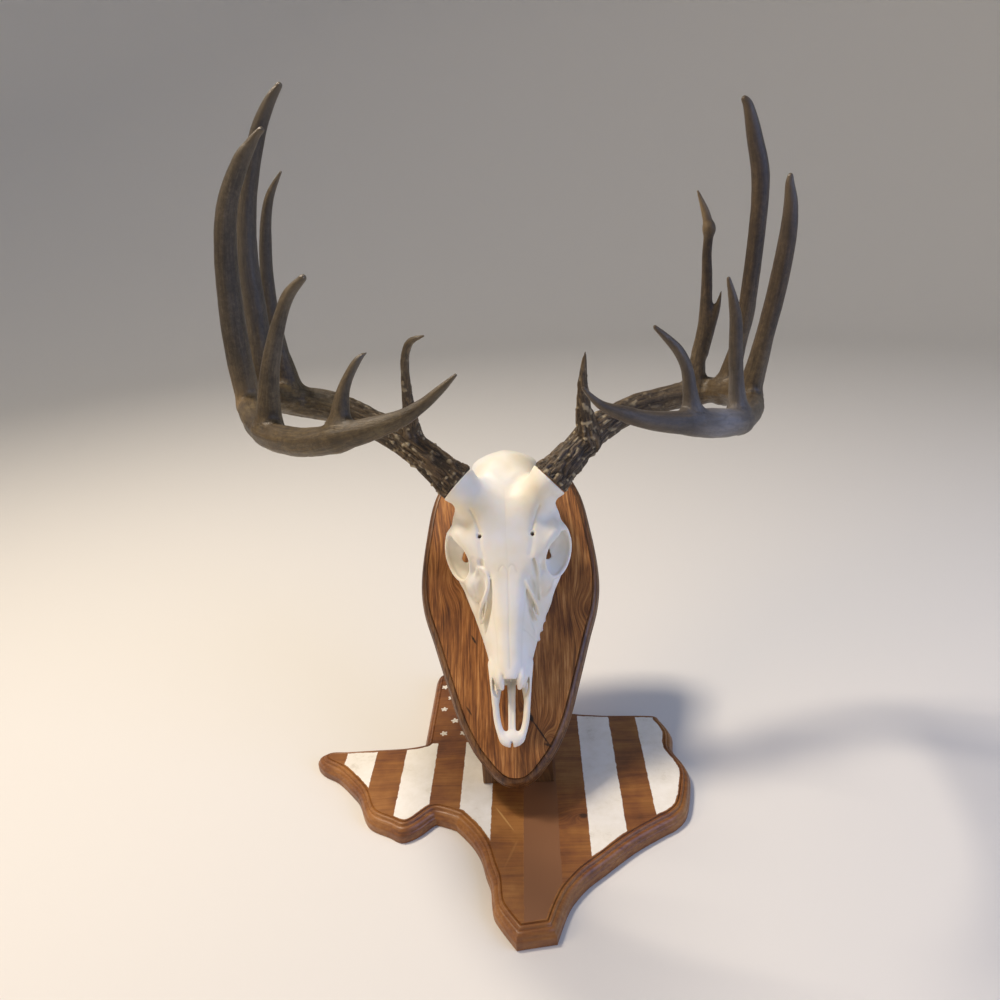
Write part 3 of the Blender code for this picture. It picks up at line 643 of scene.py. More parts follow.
def grow_half_skull():
    """The right half of the skull, which the left mirrors."""
    bone = Clay((BONE_GRAIN / 2, -4, -3), (66, 304, 116), BONE_GRAIN)
    x, y, z = np.ix_(*bone.axes)
    table = through(SKULL_RINGS, 12)
    roof, roof_half, side, waist, floor = (
        np.interp(y, table[:, 0], table[:, i]).astype(np.float32) for i in range(1, 6))
    shoulder = roof - 0.12 * (roof - waist)
    low = np.clip((z - floor) / (waist - floor), 0, 1)
    high = (z - waist) / (shoulder - waist)
    bulge = 4.0 * np.clip(high, 0, 1) * (1 - np.clip(high, 0, 1))
    wall = np.where(z < waist, side * (0.62 + 0.38 * (1 - (1 - low) ** 2)),
                    side + (roof_half - side) * high + bulge)
    wall = np.maximum(wall, 1)
    sides = (x - wall) * 0.82
    top = (z - roof + 0.10 * (roof - waist) * (x / roof_half) ** 2) * 0.95
    bottom = floor - z
    # the braincase is rounder than the face
    round_over = 7.0 + 11.0 * np.clip((y - 235) / 40, 0, 1)
    solid = -melted(-sides, -top, round_over)
    solid = -melted(-solid, -bottom, 5.0)
    solid = -melted(-solid, -(57 - y), 2.0)
    solid = -melted(-solid, -(y - BACK_OF_HEAD), 9.0)
    bone.depth = np.minimum(bone.depth, solid).astype(np.float32)

    # brow: a plate from the forehead out over the eye, with a sharp hanging edge
    bone.limb([(20, 160, 66, 6), (30, 172, 70, 6), (38, 184, 70, 6), (45, 192, 67, 6), (51, 196, 62, 4.6)],
              8, press=(0.35, 0, 0.94, 1.5))
    bone.limb([(30, 210, 76, 9), (42, 211, 68, 8), (48.5, 203, 60, 5), (54, 196, 57, 3.5)], 7)
    bone.lump((36, 192, 70), (15, 15, 6), 8)
    # cheek: the arch below the eye and back to the ear, and the bone in front of the eye
    bone.limb([(31, 136, 24, 8), (39, 150, 26, 7), (48, 164, 29, 5), (55, 181, 33, 4), (53.5, 200, 37, 3.6),
               (48, 216, 40, 4), (42, 232, 42, 4.5), (36, 246, 44, 6)], 6, press=(0.9, 0, 0.43, 1.25))
    bone.lump((32, 151, 44), (10, 13, 14), 8)
    bone.limb([(54, 196, 56, 3.4), (56.5, 199, 48, 3.2), (54.5, 199, 40, 3.4)], 4)
    # eye socket: a deep bowl of bone with a thin sharp rim
    normal = ORBIT_DOWN.cross(ORBIT_BACK).normalized()
    ways = [v.normalized() for v in (ORBIT_BACK, ORBIT_DOWN, normal)]
    turn = [np.array(v) for v in ways]
    bowl = ORBIT - ways[0] * 0.6 - ways[1] * 0.9
    bone.lump(bowl - normal * 1.0, (24.4, 21.9, 26), 5, turn=turn, face=(bowl + normal * 0.8, normal, 1.0))
    bone.lump(bowl + normal * 1.5, (22.6, 20.1, 26), 0.8, take=True, turn=turn)
    # the rim stands a little proud all round its lower half
    lip = [bowl + ways[0] * 23.3 * math.cos(a) + ways[1] * 20.8 * math.sin(a)
           for a in np.radians(range(-10, 190, 15))]
    bone.limb([(*spot, 1.5) for spot in lip], 2.2)
    # snout: thin outer walls, the floor beside the slots, and the floor of its tip
    bone.limb([(16.2, 74, 30, 6.0), (15.6, 60, 30, 5.0), (15.2, 48, 28, 4.2), (14.6, 36, 25.5, 3.7),
               (13, 22, 23, 3.6), (9.6, 11, 21.6, 4.0), (5.2, 6.0, 21, 4.6), (0, 5.0, 21, 4.6)],
              3, press=(0.86, 0, -0.5, 1.25))
    bone.limb([(13.5, 74, 17, 6.5), (13.4, 60, 17, 5.4), (13.6, 50, 18.5, 3.6), (13.8, 40, 20, 2.4)], 3,
              press=(0, 0, 1, 1.5))
    bone.lump((0, 7.5, 21), (11.4, 7.2, 4.8), 3)
    # teeth: the long jaw ridge and six cheek teeth below it, each with two cusps
    bone.limb([(17, 90, 11, 4), (20, 101, 10, 5), (24, 113, 9, 6), (28, 127, 9, 7), (33, 141, 10, 8),
               (35, 153, 12, 8)], 5)
    for index in range(6):
        share = index / 5
        bone.lump((23.6 + 14.6 * share, 104 + 47 * share, 7.5), (4.3, 4.0, 7), 1.2)
        bone.lump((25.6 + 14.6 * share, 102 + 47 * share, 6), (2.6, 1.7, 5.4), 0.6)
    # pedicle: wide at the brow, waisted, flared a little where the antler sits
    stalk = PEDICLE_SEAT - PEDICLE_ROOT
    end = PEDICLE_SEAT + PEDICLE_AXIS * 6
    stations = [(*PEDICLE_ROOT, 21), (*(PEDICLE_ROOT + stalk * 0.33), 19.2),
                (*(PEDICLE_ROOT + stalk * 0.66), 17.6),
                (*(PEDICLE_SEAT - PEDICLE_AXIS * 5), 17.9), (*PEDICLE_SEAT, 19.4), (*end, 20.5)]
    bone.limb(stations, 8)
    # back of the head: the two rounded joints of the neck beside the opening for the spine
    bone.lump((12, 288, 27), (7, 9.5, 10), 3)
    bone.limb([(0, 306, 34, 9.0), (0, 291, 35, 8.6), (0, 278, 36, 8.0)], 1.2, take=True)
    # hollows: the nose passage with its notched roof, the temple behind the eye
    bone.limb([(0, 38, 28, 10.5), (0, 52, 29.5, 10.8), (0, 62, 30.5, 11.2), (0, 76, 31, 11),
               (0, 96, 33, 8)], 1.2, take=True)
    bone.limb([(8, 50, 31, 9), (8.4, 64, 31, 9), (8, 82, 33, 7.5)], 1.2, take=True)
    bone.limb([(9.6, 44, 52, 4.4), (9.6, 57.5, 48, 4.4), (9.6, 58.5, 42, 4.2)], 0.8, take=True)
    bone.limb([(41, 224, 50, 9), (46, 214, 43, 8), (49, 207, 38, 6)], 5, take=True)
    # the small round hole in the brow
    bone.limb([(25, 184, 92, 2.3), (25, 185, 76, 2.0), (25.5, 188, 60, 1.8)], 0.5, take=True)
    # inside the nose: two scrolls of thin bone, the floor, the double bar and the plate above it
    bone.limb([(8.8, 72, 37, 4.8), (9.4, 64, 38.5, 4.6), (9.4, 57, 37.5, 3.8), (8.2, 51, 33, 2.2)], 1.0)
    bone.limb([(13.4, 72, 34, 4.2), (13.0, 62, 33, 3.8), (11.8, 53, 28.5, 2.2)], 1.0)
    bone.lump((7, 72, 20), (13, 12, 3.4), 2)
    bone.limb([(1.7, 2, 21, 2.2), (1.7, 12, 20.6, 1.9), (1.7, 25, 20, 1.8), (1.8, 45, 19, 1.9),
               (2.2, 64, 18, 2.4)], 1.2)
    bone.limb([(0, 80, 36, 1.4), (0, 66, 33, 1.1), (0, 58, 27, 1.0)], 1.0, press=(1, 0, 0, 1.6))
    # the pedicle ends in the flat seat of the antler
    seat = PEDICLE_SEAT
    beyond = beyond_face(x, y, z, seat, PEDICLE_AXIS)
    near = ((x - seat.x) ** 2 + (y - seat.y) ** 2 + (z - seat.z) ** 2) < PEDICLE_REACH ** 2
    bone.depth = np.where(near, -melted(-bone.depth, -beyond, 0.8), bone.depth).astype(np.float32)
    return bone


half_bone = grow_half_skull()
whole = Clay((0, 0, 0), (1, 1, 1), BONE_GRAIN)
whole.axes = [np.concatenate([-half_bone.axes[0][::-1], half_bone.axes[0]]), *half_bone.axes[1:]]
whole.depth = np.concatenate([half_bone.depth[::-1], half_bone.depth])
whole.lump((0, 0, 22), (1.2, 5.2, 9), 0.6, take=True)           # the notch at the tip of the snout
# The pit before each eye is open bone with thin curved struts across it, and the two differ.
LEFT_PIT = [
    [(25.2, 161, 72.5, 3.0), (24.4, 154, 69.5, 3.2)],
    [(25.2, 147, 62, 2.4), (25.4, 141.5, 57.5, 4.0), (26, 135, 52.5, 4.0), (27.2, 129, 46, 2.8)],
    [(17.2, 151, 67.5, 1.3), (16.4, 142, 64, 2.0), (17.8, 132, 59, 3.6), (20.2, 122, 51, 5.4),
     (22.6, 113, 43, 5.0), (25, 106, 36.5, 3.2), (26.4, 101, 33, 1.8)],
    [(30, 126, 41, 1.5), (28.8, 116, 38, 1.8)],
]
LEFT_STRUTS = [
    [(30.4, 153, 58, 1.7), (27.4, 158, 66, 1.8), (21.6, 154, 68.6, 1.9), (18.6, 147.5, 66.8, 1.9),
     (18.8, 139.5, 62.8, 2.0), (21.8, 132.5, 57, 2.1), (25.4, 127, 50, 2.0), (27.8, 120, 44, 1.9),
     (27.4, 112, 39.5, 1.7)],
    [(30.6, 152, 58, 1.6), (31.0, 142, 48, 1.7), (30.6, 132, 43, 1.5)],
    [(20.5, 130, 55, 1.1), (22.4, 121, 48, 1.1), (25.4, 112, 40, 1.2)],
]
RIGHT_PIT = [
    [(24.2, 162, 71, 1.6), (25.2, 155, 66, 2.3), (25.6, 149, 62.5, 1.6)],
    [(22.5, 146, 63.5, 2.4), (23.2, 140, 59.5, 3.7), (24.6, 134, 54.5, 3.7), (26.5, 129, 48.5, 2.4)],
    [(18.2, 136, 60.5, 1.8), (19.4, 128, 56, 3.6), (22, 120, 50, 4.8), (24.8, 111, 42, 4.6),
     (26.2, 104, 35, 3.0), (26, 101, 32, 2.0)],
]
RIGHT_STRUTS = [
    [(28.6, 158, 65, 1.7), (28.4, 149, 59, 1.7), (28.6, 140, 52, 1.6), (29.2, 131, 45, 1.5)],
    [(16.6, 143, 65, 1.9), (19.4, 137, 62, 1.9), (22.8, 130.5, 56.5, 2.0), (26, 124.5, 50, 1.9),
     (27.8, 117, 43.5, 1.6)],
    [(22.4, 121, 49.5, 1.1), (25.8, 112, 40.5, 1.2)],
]
# The slot at the inner corner of each eye goes right through to the board.
LEFT_SLOT = [(-39.2, 170.5, 60, 3.9), (-42.2, 181.5, 30, 4.1), (-45.2, 192.5, -2, 4.4)]
RIGHT_SLOT = [(37.0, 169.5, 60, 3.9), (38.0, 180.5, 30, 4.1), (39.0, 191.5, -2, 4.4)]
for slot in (LEFT_SLOT, RIGHT_SLOT):
    for shift in (-0.5, 4.0):
        path = [(x - 0.25 * shift * (1 if x > 0 else -1), y + shift, z, r) for x, y, z, r in slot]
        whole.limb(path, 0.8, take=True)
for side, pit, struts in ((-1, LEFT_PIT, LEFT_STRUTS), (1, RIGHT_PIT, RIGHT_STRUTS)):
    for path in pit:
        whole.limb([(side * x, y, z, r) for x, y, z, r in path], 1.0, take=True)
    for path in struts:
        whole.limb([(side * x, y, z, r) for x, y, z, r in path], 1.0)
skull = whole.skin("skull_bone")
with_modifier(skull, "SMOOTH", factor=0.5, iterations=2)
points, normals = per_vertex(skull, "co"), per_vertex(skull, "normal")
fine = lumps(points, 7.0, 11) * 0.10 + lumps(points, 2.4, 12) * 0.05


def line_depth(points, path, width):
    """How close each point lies to a line drawn on the skull from above, from 0 to 1."""
    line = through(path, 8)
    best = np.full(len(points), 1e9)
    for start, end in zip(line[:-1], line[1:]):
        run = end - start
        t = np.clip(((points[:, :2] - start) @ run) / max(run @ run, 1e-9), 0, 1)
        best = np.minimum(best, np.linalg.norm(points[:, :2] - start - t[:, None] * run, axis=1))
    return np.exp(-(best / width) ** 2)


# The hairline seams between the bones: each line as (x, y), and how deep it shows.
SUTURES = [
    ([(0, 228), (0.6, 205), (-0.4, 185), (0.5, 168), (0, 152)], 0.15),
    ([(0, 151), (0.3, 120), (-0.2, 95), (0, 66)], 0.45),
    ([(0, 149.5), (-1.0, 153.5), (-3.6, 156.2), (-6.4, 155), (-8.4, 151.5)], 0.4),
    ([(0, 149.5), (1.0, 153.8), (3.6, 156.4), (6.6, 155), (8.8, 150.5)], 0.4),
    ([(-16, 140), (-16, 128), (-14.4, 114), (-11.8, 96), (-11, 72)], 0.22),
    ([(14.8, 140), (15.4, 128), (13.6, 112), (11.6, 94), (10.4, 68)], 0.22),
    ([(-27, 122), (-31, 132), (-33, 144)], 0.3), ([(27, 92), (18, 99), (12.5, 101)], 0.4),
]
top = np.clip((normals[:, 2] - 0.1) / 0.4, 0, 1)
seam = np.zeros(len(points))
for path, strength in SUTURES:
    seam = np.maximum(seam, strength * line_depth(points, path, 0.75))
seam = seam * top
# The ridge behind the brow and the dip behind it.
shape = 0.3 * line_depth(points, [(-30, 254), (-13, 249), (0, 237), (13, 248), (30, 254)], 3.4)
shape -= 0.2 * line_depth(points, [(-22, 262), (-10, 258), (0, 249), (10, 257), (22, 262)], 5.0)
# On each side, a groove from the pedicle to the hole in the brow, hollows behind and before it, and
# the low ridges beside the eye socket and along the snout.
for side in (-1, 1):
    groove = [(side * 33, 207), (side * 31, 203.5), (side * 28.6, 197.5), (side * 26, 191),
              (side * 25, 186)]
    shape -= 1.5 * line_depth(points, groove, 1.5) + 0.9 * line_depth(points, groove, 4.5)
    shape -= 2.2 * line_depth(points, [(side * 51, 211), (side * 43, 203), (side * 35, 200)], 5.5)
    shape -= 0.8 * line_depth(points, [(side * 25, 181), (side * 24, 173), (side * 22, 165)], 2.6)
    shape += 0.7 * line_depth(points, [(side * 47, 190), (side * 40, 180), (side * 34, 168)], 2.4)
    shape += 0.55 * line_depth(points, [(side * 11, 144), (side * 10.5, 120), (side * 8, 92),
                                        (side * 7.6, 70)], 4.6)
points = points + normals * (fine - 0.9 * seam + shape * top)[:, None]
points[:, 0] += np.minimum(points[:, 1] - 150, 0) * 0.022       # the snout bends a little to one side
points[:, 2] -= points[:, 2].min()
mark_vertices(skull, "seam", seam)
move_to(skull, points)
skull.data.transform(onto_plaque @ Matrix.Scale(MM, 4) @ Matrix.Translation(SKULL_SEAT))
thin_out(skull, BONE_TRIANGLES)
# Whitened bone: bleached and satin, clouded from cream to white, with hairline sutures a little
# darker, fine pores, and light that sinks in slightly.
bone_white, shader = material("whitened_bone")
place = node(bone_white, "TexCoord").outputs["Object"]
cloud = node(bone_white, "TexNoise", {"Vector": place}, {"Scale": 22.0, "Detail": 3.0})
tone = node(bone_white, "ValToRGB", {"Fac": cloud},
            ramp=[(0.34, "#ece4d0"), (0.5, "#f1ede2"), (0.68, "#f2f2f2")])
hair = node(bone_white, "Attribute", attribute_name="seam")
dark = node(bone_white, "Math", {0: hair.outputs["Fac"]}, {1: 0.38}, operation="MULTIPLY")
lined = node(bone_white, "Mix", {0: dark, 6: tone}, {7: hexed("#a89f8c")}, data_type="RGBA")
feed(shader, "Base Color", lined.outputs[2])
pores = node(bone_white, "TexNoise", {"Vector": place}, {"Scale": 900.0, "Detail": 2.0})
feed(shader, "Normal", node(bone_white, "Bump", {"Height": pores}, {"Strength": 0.12, "Distance": 0.0002}))
shader.inputs["Roughness"].default_value = 0.46
shader.inputs["IOR"].default_value = 1.5
shader.inputs["Subsurface Weight"].default_value = 0.12
shader.inputs["Subsurface Scale"].default_value = 0.003
skull.data.materials.append(bone_white)
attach(skull, "root")
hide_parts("skull")


# The antlers: two real antlers, each one curving beam with its tines, set flat on the skull's
# pedicles. Brown and deeply grooved with small pearls near the skull, smoother and greyer along
# the beam, rubbed pale and polished at the tips. Drawn in millimetres outward, up and off the plaque.
ANTLER_GRAIN = 1.05
ANTLER_TRIANGLES = 190000
SAWN_REACH = 30                 # the sawn end cuts only what lies this near to its middle
GROOVED_REACH = 105             # how far from the skull the deep grooves and the pearls fade
FAINT_REACH = 260               # and the faint ones
TIP_REACH = 70                  # a tip is polished from this far before its end
# Each limb is a list of (outward, up, off the plaque, radius), the beam first.
LEFT_LIMBS = [
    [(0, 0, 0, 19.4), (6, 5, 2.4, 17.6), (14, 12, 5.4, 15.9), (40, 35, 10, 14.5), (70, 57, 12, 14.2),
     (114, 80, 17, 14.8), (155, 89, 22, 15.3), (172.3, 67, 65, 12.8), (159, 21, 120, 11.3),
     (127, -27, 164, 11), (90, -54, 194, 10.9), (55, -64, 216, 10.1), (16, -64, 232, 6.7),
     (-3, -60, 242, 4.5), (-17, -54, 251, 3.2), (-28, -48, 258, 1.3)],
    [(43, 47, 19, 10.6), (40, 61, 49, 6.1), (39, 75, 73, 4.3), (37, 86, 89, 4),
     (30, 93, 102, 3.5), (17, 94, 108, 0.9)],
    [(161, 97, 31, 12.8), (166, 132, 65, 8.2), (165, 169, 106, 6.5), (158, 198, 139, 5.4),
     (149, 216, 160, 4), (135, 229, 175, 1.3)],
    [(171.8, 73, 66, 12.8), (168.5, 121, 110, 10.5), (168, 159, 146, 9.4), (159.5, 194, 180, 8.1),
     (143, 227, 213, 6.8), (129, 244, 230.5, 5.1), (117.5, 253.5, 239.8, 2.8)],
    [(166, 34, 110, 11), (165.3, 65, 151, 10.5), (160, 107, 199, 9.3), (150.3, 134, 231, 8.1),
     (134.5, 154, 252.5, 6.6), (124.5, 162.5, 261, 4.5), (119, 166.5, 265.5, 3.1), (114, 169, 268.5, 2.5)],
    [(124, -25, 167, 10.5), (116, -2, 197, 7.3), (108, 15, 215, 6.3), (100, 28, 229, 5.1),
     (91, 38, 241, 4.6), (79, 45, 249, 2.8)],
    [(57, -62, 213, 9.3), (52, -43, 229, 5.4), (47, -33, 237, 3.8), (39, -22, 243, 2.7),
     (33, -17, 244, 0.7)],
]
RIGHT_LIMBS = [
    [(0, 0, 0, 19.4), (6, 5, 2.4, 17.6), (14, 12, 5.4, 15.9), (33, 32, 8, 14.4), (53, 49, 10, 13.9),
     (85, 67, 9, 13.1), (119, 76, 9, 12.6), (154, 80, 13, 12.6), (175, 54, 48, 12.3),
     (167, 9, 101, 10.7), (139, -35, 156, 10.4), (112, -51, 183, 10.9),
     (88, -60, 202, 8.8), (64, -64, 215, 6.5), (46, -63, 224, 5.5), (31, -60, 232, 3.2),
     (20, -53, 242, 1.3)],
    [(39, 34, 12, 12), (35, 51, 38, 7.5), (34, 64, 55, 5), (35, 75, 68, 3.6), (37, 85, 82, 0.9)],
    [(144, 78, 12, 11.4), (147, 103, 35, 7.2), (152, 124, 57, 6.1), (153, 149, 84, 5.3),
     (152, 166, 104, 4.6), (152.6, 176, 116, 4.5), (153, 181, 121.5, 6.3), (151.6, 185.5, 126, 4.5),
     (148.4, 192.5, 133.5, 3.5), (142, 203, 145, 1.2)],
    [(151, 107, 39, 4.8), (158, 121, 56, 3.8), (163, 132, 69, 2.8), (166, 143, 81, 0.9)],
    [(169, 69, 26, 12), (178, 95, 61, 7.6), (183, 117, 92, 7.8), (187, 161, 147, 7.4),
     (187, 187, 174, 7.7), (181, 208, 194, 6.6), (175, 224, 210, 4.5), (171, 228, 215, 2.8)],
    [(168, 19, 89, 10.5), (176, 48, 131, 7.7), (183, 73, 163, 7.5), (188, 98, 192, 6.9),
     (189, 115, 211, 5.6), (187, 126, 223, 3.5), (187, 130, 227, 2.2)],
    [(140, -34, 153, 8.9), (136, -17, 176, 5.8), (134, 0, 196, 5.2), (133, 14, 211, 4.6),
     (130, 23, 223, 3.5), (126, 33, 234, 1.7)],
    [(96.5, -55, 196.5, 8.2), (94, -41, 210, 5.3), (92, -29, 220, 4.4), (86, -21, 230, 3.8),
     (78, -15, 237, 2.8), (70, -10, 243, 1.6)],
]


def grow_antler(name, limbs, side, seed):
    """One antler: its limbs melted together, then grooved along their length and pearled."""
    everything = np.array([station for limb in limbs for station in limb])
    horn = Clay(everything[:, :3].min(0) - 24, everything[:, :3].max(0) + 24, ANTLER_GRAIN)
    for index, limb in enumerate(limbs):
        horn.limb(limb, 7.0 if index else 0.5)
    # the sawn end that lies on the skull's seat
    x, y, z = np.ix_(*horn.axes)
    behind = -beyond_face(x, y, z, (0, 0, 0), PEDICLE_AXIS) + GAP
    near = (x ** 2 + y ** 2 + z ** 2) < SAWN_REACH ** 2
    horn.depth = np.where(near, np.maximum(horn.depth, behind), horn.depth).astype(np.float32)
    piece = horn.skin(name)
    del horn
    with_modifier(piece, "SMOOTH", factor=0.5, iterations=1)
    points, normals = per_vertex(piece, "co"), per_vertex(piece, "normal")

    # where each point lies along its limb and around it
    centres, along, widths, frames, limb_of, tip_far = [], [], [], [], [], []
    for number, limb in enumerate(limbs):
        path = through(limb, 8)
        steps = np.linalg.norm(np.diff(path[:, :3], axis=0), axis=1)
        run = np.concatenate([[0], np.cumsum(steps)])
        tangent = np.gradient(path[:, :3], axis=0)
        tangent /= np.linalg.norm(tangent, axis=1)[:, None]
        first = np.cross(tangent[0], (0.3, -0.5, 0.8))
        for index in range(len(path)):
            first = first - tangent[index] * (first @ tangent[index])
            first /= np.linalg.norm(first)
            frames.append((first.copy(), np.cross(tangent[index], first)))
            centres.append(path[index, :3])
            along.append(run[index])
            widths.append(path[index, 3])
            limb_of.append(number)
            tip_far.append(run[-1] - run[index])
    centres, along, widths = np.array(centres), np.array(along), np.array(widths)
    limb_of, tip_far = np.array(limb_of), np.array(tip_far)
    ones, twos = np.array([f[0] for f in frames]), np.array([f[1] for f in frames])
    nearest = np.empty(len(points), int)
    batch = 4000                # a few at a time, to spare memory
    for start in range(0, len(points), batch):
        part = points[start:start + batch]
        gap = np.linalg.norm(part[:, None] - centres[None], axis=2) - widths[None]
        nearest[start:start + batch] = gap.argmin(1)
    offset = points - centres[nearest]
    u, v = (offset * ones[nearest]).sum(1), (offset * twos[nearest]).sum(1)
    spread = np.maximum(np.hypot(u, v), 1e-6)
    u, v = u / spread * widths[nearest], v / spread * widths[nearest]
    tangent = np.cross(ones[nearest], twos[nearest])
    s = along[nearest] + (offset * tangent).sum(1)
    number = limb_of[nearest]
    grain = np.stack([u + number * 57.0, v - number * 31.0, s], 1)
    from_seat = np.linalg.norm(points, axis=1)
    tip = np.clip(tip_far[nearest] / 55, 0, 1) + (from_seat < 60)
    tip = np.clip(tip, 0, 1)

    # bark-like grooves and pearls near the skull, long shallow flutes further out
    rough = np.exp(-(from_seat / GROOVED_REACH) ** 2)
    mid = np.exp(-(from_seat / FAINT_REACH) ** 2)
    bark = grain * (1, 1, 0.15)
    deep = lumps(bark, 3.8, seed) + 0.6 * lumps(bark * (1, 1, 1.7), 2.1, seed + 1)
    ridge = np.clip(1 - np.abs(deep) * 3.0, -1, 1)
    long = lumps(grain * (1, 1, 0.045), 5.0, seed + 2)
    pearl = np.clip(lumps(grain, 3.6, seed + 3) - 0.40, 0, 1) * 3.4
    warp = lumps(points, 18.0, seed + 4)
    size = np.clip(widths[nearest] / 12, 0.2, 1.2)
    lift = (-1.05 * rough * ridge + 1.0 * rough * pearl
            + (-0.22 * mid - 0.07) * ridge * tip * size
            + 0.6 * long * size * tip + 0.35 * warp * size - 0.5 * size)
    above_seat = points @ np.array(PEDICLE_AXIS)
    lift = lift * (0.55 + 0.45 * np.clip(above_seat / 4.0, 0, 1))
    lift[(from_seat < 26) & (above_seat < 1.5)] = 0         # the sawn end stays flat
    points = points + normals * lift[:, None]

    mark_vertices(piece, "hollow", np.clip(ridge * (0.22 + rough + 0.35 * mid), 0, 1))
    mark_vertices(piece, "near_skull", np.exp(-(from_seat / 120) ** 2))
    mark_vertices(piece, "to_tip", 1 - np.clip(tip_far[nearest] / TIP_REACH, 0, 1))
    mark_vertices(piece, "pearl", np.clip(1.4 * rough, 0, 1) * np.clip(pearl, 0, 1))
    drawn = piece.data.attributes.new("drawn", "FLOAT_VECTOR", "POINT")
    drawn.data.foreach_set("vector", grain.astype(np.float32).ravel())
    points[:, 0] *= side
    move_to(piece, points)
    if side < 0:
        piece.data.flip_normals()
    seat = Vector((PEDICLE_SEAT.x * side, PEDICLE_SEAT.y, PEDICLE_SEAT.z))
    piece.data.transform(onto_plaque @ Matrix.Scale(MM, 4) @ Matrix.Translation(SKULL_SEAT + seat))
    thin_out(piece, ANTLER_TRIANGLES)
    return piece


def antler_finish(name, root, beam, tine, tip_tone, spots_and_highlights, seed):
    """Antler: bone stained by bark and weather, dark in its grooves and fine cracks, paler on its
    pearls and at its tips, which are polished. root, beam and tine are three tones each, from dark to
    pale, and a spot of another tone is (x, y, z, reach, tone) in metres; the small pale spots are
    painted highlights as much as rubbed bone."""
    made, shader = material(name)
    drawn = node(made, "Attribute", attribute_name="drawn").outputs["Vector"]
    hollow, near_skull, to_tip, pearl = (
        node(made, "Attribute", attribute_name=label).outputs["Fac"]
        for label in ("hollow", "near_skull", "to_tip", "pearl"))
    place = node(made, "TexCoord").outputs["Object"]
    stretched = node(made, "Mapping", {"Vector": drawn}, {"Scale": (1, 1, 0.05), "Location": (seed, 0, 0)})
    fibre = node(made, "TexNoise", {"Vector": stretched}, {"Scale": 0.6, "Detail": 5.0, "Roughness": 0.6})
    blotch = node(made, "TexNoise", {"Vector": place}, {"Scale": 24.0, "Detail": 8.0, "Roughness": 0.68})
    speck = node(made, "TexNoise", {"Vector": place}, {"Scale": 300.0, "Detail": 5.0, "Roughness": 0.75})
    mixed = node(made, "Mix", {2: fibre, 3: blotch}, {0: 0.55}, data_type="FLOAT")
    mixed = node(made, "Mix", {2: mixed, 3: speck}, {0: 0.35}, data_type="FLOAT")
    beam_tone, tine_tone, root_tone = (
        node(made, "ValToRGB", {"Fac": mixed}, ramp=list(zip(stops, tones)))
        for tones, stops in ((beam, (0.40, 0.5, 0.60)), (tine, (0.40, 0.5, 0.60)),
                             (root, (0.38, 0.52, 0.64))))
    # the beam's tones below, the tines' above, the root's at the skull
    height = node(made, "SeparateXYZ", {"Vector": place}).outputs["Z"]
    upward = node(made, "MapRange", {"Value": height}, {"From Min": 0.40, "From Max": 0.47})
    body = node(made, "Mix", {0: upward, 6: beam_tone, 7: tine_tone}, data_type="RGBA").outputs[2]
    rooted = node(made, "MapRange", {"Value": near_skull}, {"From Min": 0.15, "From Max": 0.75})
    body = node(made, "Mix", {0: rooted, 6: body, 7: root_tone}, data_type="RGBA").outputs[2]
    # each spot mixes in another tone; the small pale ones are painted highlights as well as rubbed bone
    for x, y, z, reach, tone in spots_and_highlights:
        spot = node(made, "VectorMath", {0: place}, {1: (x, y, z)}, operation="DISTANCE").outputs["Value"]
        spot_and_highlight_distance = node(made, "Math", {0: blotch, 2: spot}, {1: -0.05}, operation="MULTIPLY_ADD")
        here = node(made, "MapRange", {"Value": spot_and_highlight_distance},
                    {"From Min": -0.025, "From Max": reach, "To Min": 0.7, "To Max": 0.0})
        body = node(made, "Mix", {0: here, 6: body}, {7: hexed(tone)}, data_type="RGBA").outputs[2]
    end = node(made, "MapRange", {"Value": to_tip}, {"From Min": 0.45, "From Max": 1.0, "To Max": 0.5})
    shade = node(made, "Math", {0: hollow}, {1: 0.68}, operation="MULTIPLY")
    bark = node(made, "Mapping", {"Vector": drawn}, {"Scale": (1, 1, 0.11), "Location": (seed, seed, 0)})
    waves = node(made, "TexNoise", {"Vector": bark},
                 {"Scale": 0.36, "Detail": 2.5, "Roughness": 0.55, "Distortion": 0.3})
    centred = node(made, "Math", {0: waves}, {1: 0.5}, operation="SUBTRACT")
    away = node(made, "Math", {0: centred}, operation="ABSOLUTE")
    crack = node(made, "MapRange", {"Value": away},
                 {"From Min": 0.004, "From Max": 0.035, "To Min": 1.0, "To Max": 0.0})
    worn_off = node(made, "MapRange", {"Value": near_skull},
                    {"From Min": 0.04, "From Max": 0.6, "To Min": 0.12, "To Max": 0.85})
    cracked = node(made, "Math", {0: crack, 1: worn_off}, operation="MULTIPLY")
    beads = node(made, "Math", {0: pearl}, {1: 0.85}, operation="MULTIPLY")
    # tips, grooves, cracks and pearls, each over the last
    for share, tone in ((end, tip_tone), (shade, "#140d07"), (cracked, "#1a120a"), (beads, "#b3a486")):
        body = node(made, "Mix", {0: share, 6: body}, {7: hexed(tone)}, data_type="RGBA").outputs[2]
    feed(shader, "Base Color", body)
    polish = node(made, "MapRange", {"Value": to_tip},
                  {"From Min": 0.3, "From Max": 1.0, "To Min": 0.46, "To Max": 0.3})
    feed(shader, "Roughness", polish)
    fine = node(made, "TexNoise", {"Vector": stretched}, {"Scale": 1.6, "Detail": 4.0, "Roughness": 0.6})
    carved = node(made, "Math", {0: cracked, 2: fine}, {1: -1.3}, operation="MULTIPLY_ADD")
    feed(shader, "Normal", node(made, "Bump", {"Height": carved}, {"Strength": 0.7, "Distance": 0.0006}))
    return made


